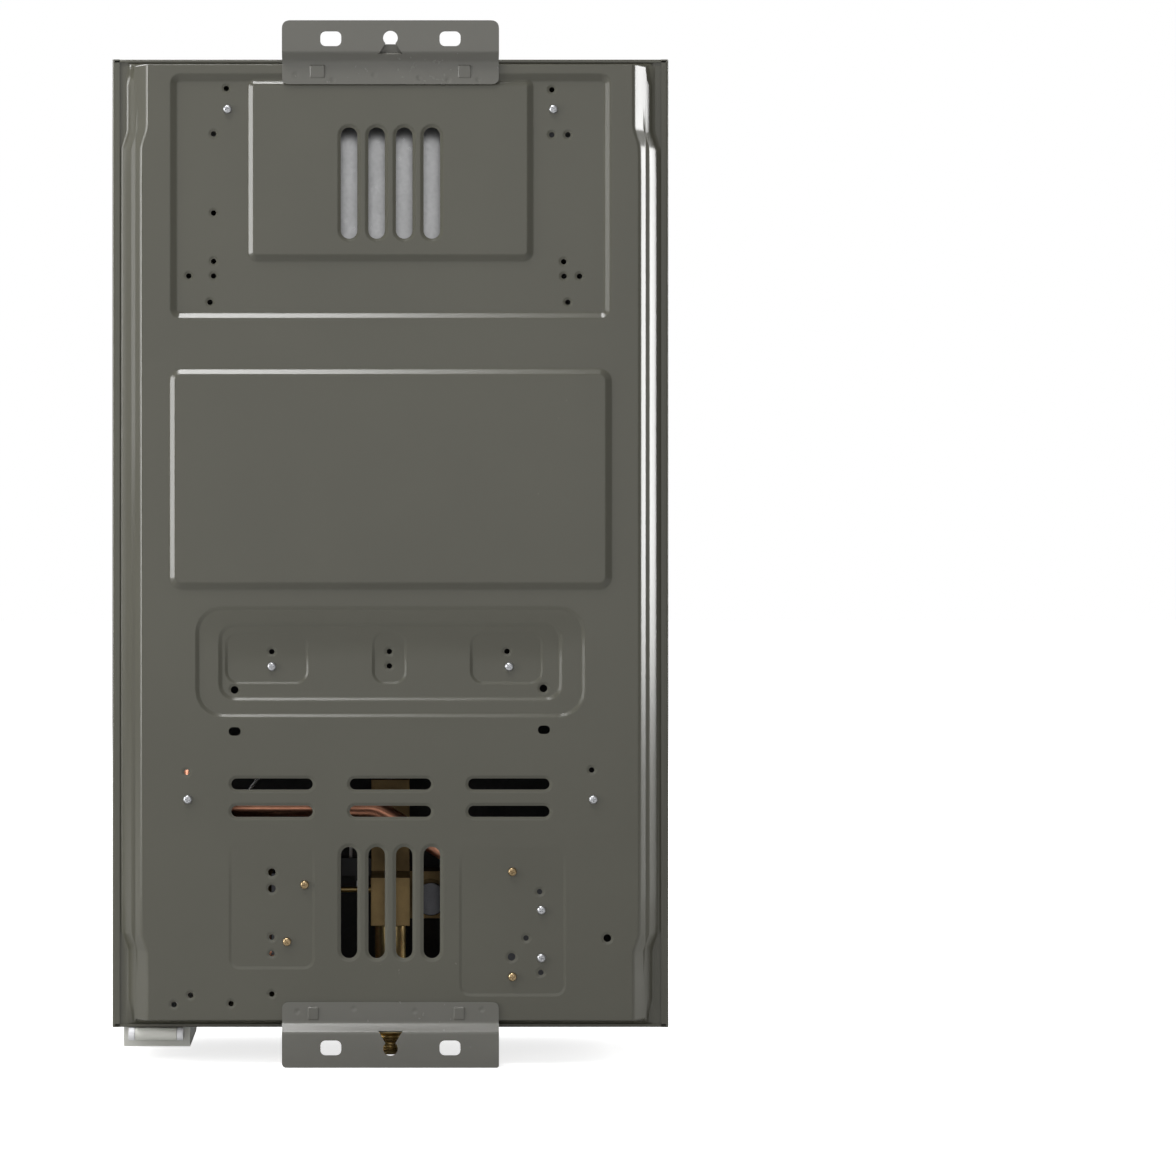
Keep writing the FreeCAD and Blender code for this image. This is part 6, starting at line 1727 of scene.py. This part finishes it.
@dataclass
class Controls:
    """The season, gas and water knobs and the mouldings about them."""

    bore: float = 3.8

    def domed(self, foot: float, top: float, rise: float) -> tuple[Point2, ...]:
        """Profile of a domed bezel about its bore."""
        points = [(FACE_PLANE, self.bore), (FACE_PLANE, foot)]
        for step in range(6):
            angle = math.pi / 2 * step / 5
            points.append((FACE_PLANE - 0.4 - (rise - 0.4) * math.sin(angle),
                           top + (foot - top) * math.cos(angle)))
        return (*points, (FACE_PLANE - rise, self.bore), (FACE_PLANE, self.bore))

    def build(self) -> None:
        """Makes the knobs and their bezels."""
        taps = (19.0, -178.7, -165.5, self.domed(27.0, 21.0, 5.0))
        knobs = (Knob("season_dial", Body.SEASON, "season_knob", SEASON_PLACE, 18.0, -182.7, -163.5,
                      self.domed(20.0, 19.0, 3.0)),
                 Knob("gas_dial", Body.GAS, "gas_knob", GAS_PLACE, *taps),
                 Knob("water_dial", Body.WATER, "water_knob", WATER_PLACE, *taps))
        draft = Draft()
        for knob in knobs:
            knob.build()
            knob.bezel(draft)
        draft.finish("bezels", BLACK, ("knob_bezels",))


# ---------------- fasteners, pipes and springs

def cross_head(radius: float, rise: float, turn: float, shank: float) -> Draft:
    """Pan-head screw with a cross recess that points along +y.

    Args:
        radius: Radius of the head.
        rise: Height of the head above its seat.
        turn: Angle of the recess in degrees.
        shank: Length of the shank behind the seat.

    Returns:
        The screw, drawn about the origin at its seat.
    """
    steps = 32
    draft = Draft()
    rings = [[Axis.Y.point(along, *spot) for spot in circle((0.0, 0.0), radius * share, steps)]
             for along, share in ((-shank, 0.42), (-0.01, 0.48), (0.0, 0.98), (0.35, 1.0),
                                  (rise * 0.62, 0.94), (rise * 0.86, 0.8), (rise, 0.58))]
    lobes = [0.5 if step % (steps // 4) in (0, 1, steps // 4 - 1) else 0.19 for step in range(steps)]
    for along, scale in ((rise, 1.0), (rise - 0.25, 0.94), (rise * 0.35, 0.6)):
        spots = circle((0.0, 0.0), radius * scale, steps)
        rings.append([Axis.Y.point(along, lobe * x, lobe * z) for lobe, (x, z) in zip(lobes, spots)])
    turned = Matrix.Rotation(math.radians(turn), 3, "Y")
    draft.bridge([[turned @ point for point in ring] for ring in rings])
    return draft


@dataclass
class Screws:
    """Screws that hold the inner parts to the rear pan."""

    silver: tuple[Point3, ...] = ((78.0, -11.0, 239.0), (-78.0, -11.0, 239.0), (133.0, -7.0, 152.0),
                                  (-133.0, -7.0, 152.0), (-99.0, -7.45, 79.4), (-99.0, -7.45, 48.0),
                                  (107.0, -9.5, 605.0), (-107.0, -9.5, 605.0))
    brass: tuple[Point3, ...] = ((56.3, -7.45, 96.0), (67.9, -7.45, 58.6), (-80.0, -7.45, 104.5),
                                 (-80.0, -7.45, 35.6))
    radius: float = 2.9
    rise: float = 2.4
    turns: tuple[float, ...] = (12.0, 40.0, 71.0)

    def build(self, shop: Workshop) -> None:
        """Makes both sets of screws."""
        for name, node, spots, finish in (("silver_pan_heads", "silver_screws", self.silver, ZINC),
                                          ("brass_pan_heads", "brass_screws", self.brass, AGED_BRASS)):
            draft = Draft()
            for number, turn in enumerate(self.turns):
                shop.repeat(draft, cross_head(self.radius, self.rise, turn, 9.0),
                            spots[number::len(self.turns)])
            draft.finish(name, finish, (node,), 32.0)


@dataclass
class Plumbing:
    """Copper pipes, threaded brass fittings and the drain."""

    radius: float = 6.35
    bend: float = 18.0
    fitting: float = 9.6
    bore: float = 6.6
    rear: float = FITTING_ROW
    spots: tuple[float, ...] = FITTING_COLUMNS
    cold: tuple[Point3, ...] = ((57, -45, 6), (57, -45, 38), (82, -90, 38), (82, -90, 62))
    riser: tuple[Point3, ...] = ((110, -85, 86), (134.85, -85, 86), (134.85, -85, 308))
    hot: tuple[Point3, ...] = ((134.85, -100, 450), (134.85, -100, 425), (150.35, -75, 402),
                               (150.35, -37, 370), (150.35, -37, 144), (10, -37, 144), (-57, -37, 102),
                               (-57, -45, 54), (-57, -45, 6))

    def build(self, shop: Workshop) -> None:
        """Makes the pipes, the fittings and the drain."""
        for name, node, route in (("cold_feed", "cold_pipe", self.cold),
                                  ("cold_riser", "riser_pipe", self.riser),
                                  ("hot_return", "hot_pipe", self.hot)):
            draft = Draft()
            shop.pipe(draft, [route], self.radius, self.bend, 28)
            draft.finish(name, COPPER, (node,), 50.0)
        self.fittings(shop)
        self.drain(shop)

    def fittings(self, shop: Workshop) -> None:
        """Makes the three threaded fittings with their nuts."""
        draft = Draft()
        for x in self.spots:
            top = 66.0 if x == 0.0 else 18.0
            core = self.fitting
            draft.lathe(Axis.Z, (x, self.rear), [
                (-18.8, self.bore), (-19.6, self.bore + 0.6), (-20.0, self.bore + 1.6), (-20.0, core - 0.9),
                (-19.0, core), (-7.0, core), (-6.4, core - 1.0), (-5.0, core - 1.0), (1.0, core + 0.4),
                (top - 0.8, core + 0.6), (top, core - 0.2), (top, self.bore), (-18.8, self.bore)], 48, False)
            hexagon = softened(circle((x, self.rear), 14.0, 6), (1.6,), 3)
            draft.prism(Axis.Z, hexagon, -6.0, 0.0, 0.9)
            draft.prism(Axis.Z, hexagon, 1.0, 7.0, 0.9)
        shop.coil(draft, [(x, self.rear, -18.9) for x in self.spots], 7.0, core + 0.1, 11.6, 0.75)
        draft.finish("threaded_fittings", BRASS, ("pipe_fittings",), 34.0)

    def drain(self, shop: Workshop) -> None:
        """Makes the drain tube and its screw plug with a ribbed head."""
        draft = Draft()
        draft.lathe(Axis.Z, DRAIN_PLACE, [(-1.8, 3.2), (-1.8, 5.2), (-1.4, 5.5), (61.6, 5.5), (62.0, 5.1),
                                          (62.0, 3.2), (-1.8, 3.2)], 32, False)
        draft.finish("drain_pipe", BRASS, ("drain_tube",))
        draft = Draft()
        low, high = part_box("drain_plug")
        head = (high.x - low.x) * 500
        rings = []
        for along, radius, rib in ((-10.3, head * 0.4, 1.0), (-10.3, head * 0.86, 1.0),
                                   (-9.6, head * 0.96, 0.955), (-3.4, head * 0.98, 0.955),
                                   (-2.4, head * 0.93, 1.0), (-1.8, head * 0.8, 1.0), (-1.8, 3.1, 1.0),
                                   (6.2, 3.1, 1.0), (6.7, 2.6, 1.0)):
            outer, inner = (circle(DRAIN_PLACE, radius * share, 72) for share in (1.0, rib))
            spots = [near if step % 4 < 2 else far for step, (near, far) in enumerate(zip(inner, outer))]
            rings.append([Axis.Z.point(along, *spot) for spot in spots])
        draft.bridge(rings)
        draft.finish("drain_screw_head", BLACK, ("drain_plug",), body=Body.DRAIN)


# ---------------- heat exchanger and flue

@dataclass
class HeatExchanger:
    """Fin stack in its crumpled foil, over the copper chamber."""

    fins: int = 26
    pitch: float = 9.0
    gauge: float = 0.6
    low: float = 450.0
    high: float = 500.0
    front: float = -118.0
    rear: float = -36.0
    foil_low: float = 451.0
    foil_high: float = 506.0
    foil_gauge: float = 1.5

    def build(self, shop: Workshop) -> None:
        """Makes the fin stack and the foil."""
        fin = Draft()
        half_y, half_z = (self.rear - self.front) / 2, (self.high - self.low) / 2
        fin.prism(Axis.X, rounded_rect((-half_y, -half_z), (half_y, half_z), 3.0, 2), 0.0, self.gauge)
        middle = ((self.front + self.rear) / 2, (self.high + self.low) / 2)
        first = -(self.fins - 1) / 2 * self.pitch - self.gauge / 2
        draft = Draft()
        shop.repeat(draft, fin, [(first + self.pitch * number, *middle) for number in range(self.fins)])
        draft.finish("fin_stack", COPPER, ("exchanger_fins",))
        low, high = (tuple(part * 1000 for part in corner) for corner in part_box("foil_wrap"))
        wrap = Draft()
        rings = []
        low_row, high_row = self.foil_low + 0.4, self.foil_high - 0.4
        for height, inset in ((low_row, 0.3), (high_row, 0.3), (high_row, self.foil_gauge),
                              (low_row, self.foil_gauge)):
            outline = rounded_rect(*shrunk(low, high, inset), 2.5, 1)
            ring = []
            for one, two in zip(outline, outline[1:] + outline[:1]):
                pieces = max(1, round(math.dist(one, two) / 16))
                for step in range(pieces):
                    spot = Vector(one).lerp(Vector(two), step / pieces)
                    ring.append(Vector((spot.x, spot.y, height)))
            rings.append(ring)
        wrap.bridge([*rings, rings[0]], True, False)
        bmesh.ops.remove_doubles(wrap.mesh, verts=wrap.mesh.verts, dist=0.001)
        bmesh.ops.recalc_face_normals(wrap.mesh, faces=wrap.mesh.faces)
        draft = Draft()
        shop.crumpled(draft, wrap, 1.2, 150.0)
        draft.finish("crumpled_foil", FOIL, ("foil_wrap",), 70.0)


@dataclass
class Hood:
    """Flue hood in near-black painted shade, with a lighter tail plate, and the draught rim below it in the
    same painted shade.
    """

    tail_rear: float = -60.0
    tail_top: float = 606.0
    tail_half: float = 100.0
    rim_half: float = 138.0
    rim_front: float = -124.0
    rim_back: float = -30.5
    rim_low: float = 507.0
    rim_high: float = 521.0
    gauge: float = 0.8

    def build(self) -> None:
        """Makes the hood and the rim."""
        # The hood takes near-black painted shade; its tail plate, seen lit through the rear slots, takes a
        # lighter copy of the same galvanised finish.
        hood = carried("flue_hood", HOOD_SHADE, 0.25)
        hood.data.materials.append(HOOD_TAIL.material())
        to_drawing = TO_FRAME.inverted()
        for polygon in hood.data.polygons:
            centre = to_drawing @ polygon.center
            if centre.y > self.tail_rear and centre.z < self.tail_top and abs(centre.x) < self.tail_half:
                polygon.material_index = 1
        draft = Draft()
        rings = []
        for height, inset in ((self.rim_low, 0.0), (self.rim_high - 3.0, 0.0), (self.rim_high - 0.9, -0.3),
                              (self.rim_high, -1.1), (self.rim_high - 0.2, 0.3),
                              (self.rim_high - 3.0, self.gauge), (self.rim_low, self.gauge)):
            corners = shrunk((-self.rim_half, self.rim_front), (self.rim_half, self.rim_back), inset)
            rings.append([Vector((x, y, height)) for x, y in rounded_rect(*corners, 5.0 - inset, 5)])
        draft.bridge([*rings, rings[0]], True, False)
        # The rim takes the same near-black painted shade.
        draft.finish("draught_rim", HOOD_SHADE)


# ---------------- clip, battery case and leads

@dataclass
class ShowerClip:
    """Sprung clip that holds the shower head."""

    centre: float = -174.2
    outer: float = 14.0
    inner: float = 11.0
    trim: float = -181.2
    low: float = 525.0
    high: float = 539.0
    foot: float = -163.2

    def build(self) -> None:
        """Makes the clip and its foot."""
        middle = (0.0, self.centre)
        reach = self.centre - self.trim
        start = math.asin(reach / self.outer)
        outline = arc(middle, self.outer, -start, math.pi + 2 * start, 24)
        start = math.asin(reach / self.inner)
        outline += arc(middle, self.inner, math.pi + start, -math.pi - 2 * start, 24)
        draft = Draft()
        centre = Vector(middle)
        half_way = (self.outer + self.inner) / 2
        rings = []
        for height, inset in ((self.low, 0.5), (self.low + 0.2, 0.2), (self.low + 0.6, 0.0),
                              (self.high - 0.6, 0.0), (self.high - 0.2, 0.2), (self.high, 0.5)):
            ring = []
            for spot in outline:
                away = Vector(spot) - centre
                moved = away.length - math.copysign(inset, away.length - half_way)
                ring.append(Vector((*(centre + away.normalized() * moved), height)))
            rings.append(ring)
        draft.bridge(rings)
        draft.block((-self.outer, self.foot - 0.4, self.low), (self.outer, FACE_PLANE, self.high), 0.9, 3)
        draft.finish("shower_hook", BLACK, ("shower_clip",))


@dataclass
class Leads:
    """Ignition, switch and battery leads, and the springs under the cells."""

    wire: float = 1.1
    bend: float = 8.0
    spark: tuple[Point3, ...] = ((134, -33.6, 116), (134, -39.6, 116), (130, -68, 126), (108, -106, 136),
                                 (88, -128, 162), (62, -132, 196), (40, -132, 236), (31, -122, 262),
                                 (27.75, -108.3, 270), (27.75, -102.3, 270))
    switch: tuple[Point3, ...] = ((27, -90, 106), (27, -90, 122), (60, -66, 130), (98, -56, 126),
                                  (116, -50, 118), (124, -39.6, 116), (124, -33.6, 116))
    cell: tuple[Point3, ...] = ((147, -68, 68), (147, -68, 76), (141, -56, 81), (141, -39.6, 84),
                                (141, -33.6, 84))

    def build(self, shop: Workshop) -> None:
        """Makes the leads and the springs."""
        draft = Draft()
        shop.pipe(draft, [self.spark, self.switch], self.wire, self.bend, 10)
        draft.finish("pale_leads", LEAD, ("wire_leads",), 60.0)
        draft = Draft()
        shop.pipe(draft, [self.cell], self.wire, self.bend, 10)
        draft.finish("red_lead", RED_LEAD, (), 60.0)
        low, high = (tuple(part * 1000 for part in corner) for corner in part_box("battery_springs"))
        rear, front = high[1] - 7.0, low[1] + 7.0
        draft = Draft()
        shop.coil(draft, [(155.0, row, -11.5) for row in (rear, front)], 5.0, 6.3, 15.5, 0.6)
        draft.finish("cell_springs", ZINC, ("battery_springs",), 60.0, Body.LID)


# ---------------- pieces that keep the frame's own form

# Brackets and the burner rack take near-black painted shade; the valve castings and the solenoid can are
# darkened as painted shade too.
KEPT: dict[str, tuple[Finish, float]] = {
    "side_sticker": (FILM, 0.0), "display_housing": (BLACK, 0.6), "season_spindle": (ZINC, 0.3),
    "gas_spindle": (ZINC, 0.3), "water_spindle": (BRASS, 0.3), "battery_box": (WHITE, 0.4),
    "battery_door": (MILKY, 0.5), "battery_door_pin": (ZINC, 0.3), "battery_cells": (WRAP, 0.4),
    "chamber_shell": (COPPER, 0.3), "exchanger_tubes": (COPPER, 0.0), "exchanger_coil": (COPPER, 0.0),
    "hood_brackets": (SHADED_ZINC, 0.3), "burner_bars": (BURNER_STEEL, 0.0),
    "burner_rack": (SHADED_ZINC, 0.3), "gas_manifold": (CAST, 0.5), "gas_jets": (BRASS, 0.0),
    "gas_riser": (CAST, 0.0), "gas_valve": (CAST_BLOCK, 0.9), "water_valve": (CAST_BRASS, 0.9),
    "diaphragm": (RUBBER, 0.3), "diaphragm_cover": (BRASS, 0.7), "push_rod": (BRASS, 0.3),
    "micro_switch": (BLACK, 0.5), "switch_lever": (ZINC, 0.2), "solenoid": (CAN, 0.8),
    "spark_electrodes": (CERAMIC, 0.2), "control_board": (BOARD, 0.2), "board_components": (CAPACITOR, 0.5),
    "board_tray": (WHITE, 0.4), "valve_brackets": (SHADED_ZINC, 0.3),
}


# ---------------- studio

@dataclass
class Studio:
    """Pale floor, soft lights and the camera."""

    floor: float = -23.0
    lens: float = 98.0
    distance: float = 2.1
    centre: float = 320.0
    shift: Point2 = (0.168, -0.038)
    ground: Colour = (0.80, 0.80, 0.80)
    bounce: Colour = (0.50, 0.50, 0.50)
    lift: Colour = (0.76, 0.76, 0.76)
    lamps: tuple[tuple[str, Point3, float, Point2], ...] = (
        ("overhead", (0.6, 0.9, 2.3), 40.0, (1.3, 0.6)),
        ("left_side", (2.15, 0.9, 0.4), 29.0, (0.8, 1.4)),
        ("right_strip", (-2.1, -0.72, 0.36), 33.0, (0.66, 1.1)),
        ("left_strip", (2.35, 0.1, 0.8), 8.0, (0.5, 1.3)),
        ("rear_fill", (0.1, 2.8, 0.45), 12.0, (2.4, 2.4)),
        ("front_fill", (1.2, -2.6, 1.6), 64.0, (2.0, 2.0)),
    )

    def build(self) -> None:
        """Sets up the whole studio."""
        self.ground_plane()
        self.world()
        for name, place, power, size in self.lamps:
            self.lamp(name, place, power, size)
        self.camera()
        bpy.context.scene.view_settings.view_transform = "Standard"

    def ground_plane(self) -> None:
        """Makes the floor at the heater's lowest point."""
        data = bpy.data.meshes.new("floor")
        size = 12.0
        height = (self.floor - HANG_HEIGHT) / 1000
        data.from_pydata([(-size, -size, height), (size, -size, height), (size, size, height),
                          (-size, size, height)], [], [(0, 1, 2, 3)])
        ground = placed("floor", data)
        made = bpy.data.materials.new("pale_floor")
        made.use_nodes = True
        shader = Shader(made)
        seen = shader.node("ShaderNodeLightPath").outputs["Is Camera Ray"]
        shader.dress({
            "Base Color": shader.mixed(seen, self.bounce, self.ground),
            "Roughness": 0.9, "Specular IOR Level": 0.1,
            "Emission Color": shader.mixed(seen, (0.0, 0.0, 0.0), self.lift), "Emission Strength": 1.0,
        })
        data.materials.append(made)

    def world(self) -> None:
        """Makes soft even light that the camera sees as white."""
        world = bpy.data.worlds.new("soft_room")
        world.use_nodes = True
        graph = Graph(world.node_tree)
        graph.tree.nodes.clear()
        path = graph.node("ShaderNodeLightPath").outputs
        seen = Field(graph, path["Is Camera Ray"])
        strength = 0.34 + seen * 0.66 + Field(graph, path["Is Transmission Ray"]) * 0.2
        light = graph.node("ShaderNodeBackground", None, {"Color": (1.0, 1.0, 1.0), "Strength": strength})
        graph.node("ShaderNodeOutputWorld", None, {"Surface": light.outputs[0]})
        bpy.context.scene.world = world

    def lamp(self, name: str, place: Point3, power: float, size: Point2) -> None:
        """Adds a soft lamp that faces the heater.

        Args:
            name: The lamp's name.
            place: Its place about the heater's middle, in metres.
            power: Its power in watts.
            size: Its width and height in metres.
        """
        data = bpy.data.lights.new(name, "AREA")
        data.energy = power
        data.shape = "RECTANGLE"
        data.size, data.size_y = size
        lamp = placed(name, data)
        middle = Vector((0.0, -0.08, (self.centre - HANG_HEIGHT) / 1000))
        lamp.location = middle + Vector(place)
        lamp.rotation_euler = (-Vector(place)).to_track_quat("-Z", "Y").to_euler()

    def camera(self) -> None:
        """Adds the camera behind the heater, level with its middle."""
        data = bpy.data.cameras.new("camera")
        data.lens = self.lens
        data.shift_x, data.shift_y = self.shift
        camera = placed("camera", data)
        camera.location = (0.0, self.distance - 0.007, (self.centre - HANG_HEIGHT) / 1000)
        camera.rotation_euler = (math.pi / 2, 0.0, math.pi)
        bpy.context.scene.camera = camera


def main() -> None:
    """Builds the heater and its studio."""
    Casing().build()
    panel = FrontPanel()
    panel.build()
    panel.fittings()
    Controls().build()
    ShowerClip().build()
    shop = Workshop()
    Screws().build(shop)
    Plumbing().build(shop)
    HeatExchanger().build(shop)
    Leads().build(shop)
    for node, (finish, edge) in KEPT.items():
        carried(node, finish, edge)
    Hood().build()
    Studio().build()


if __name__ == "__main__":
    main()
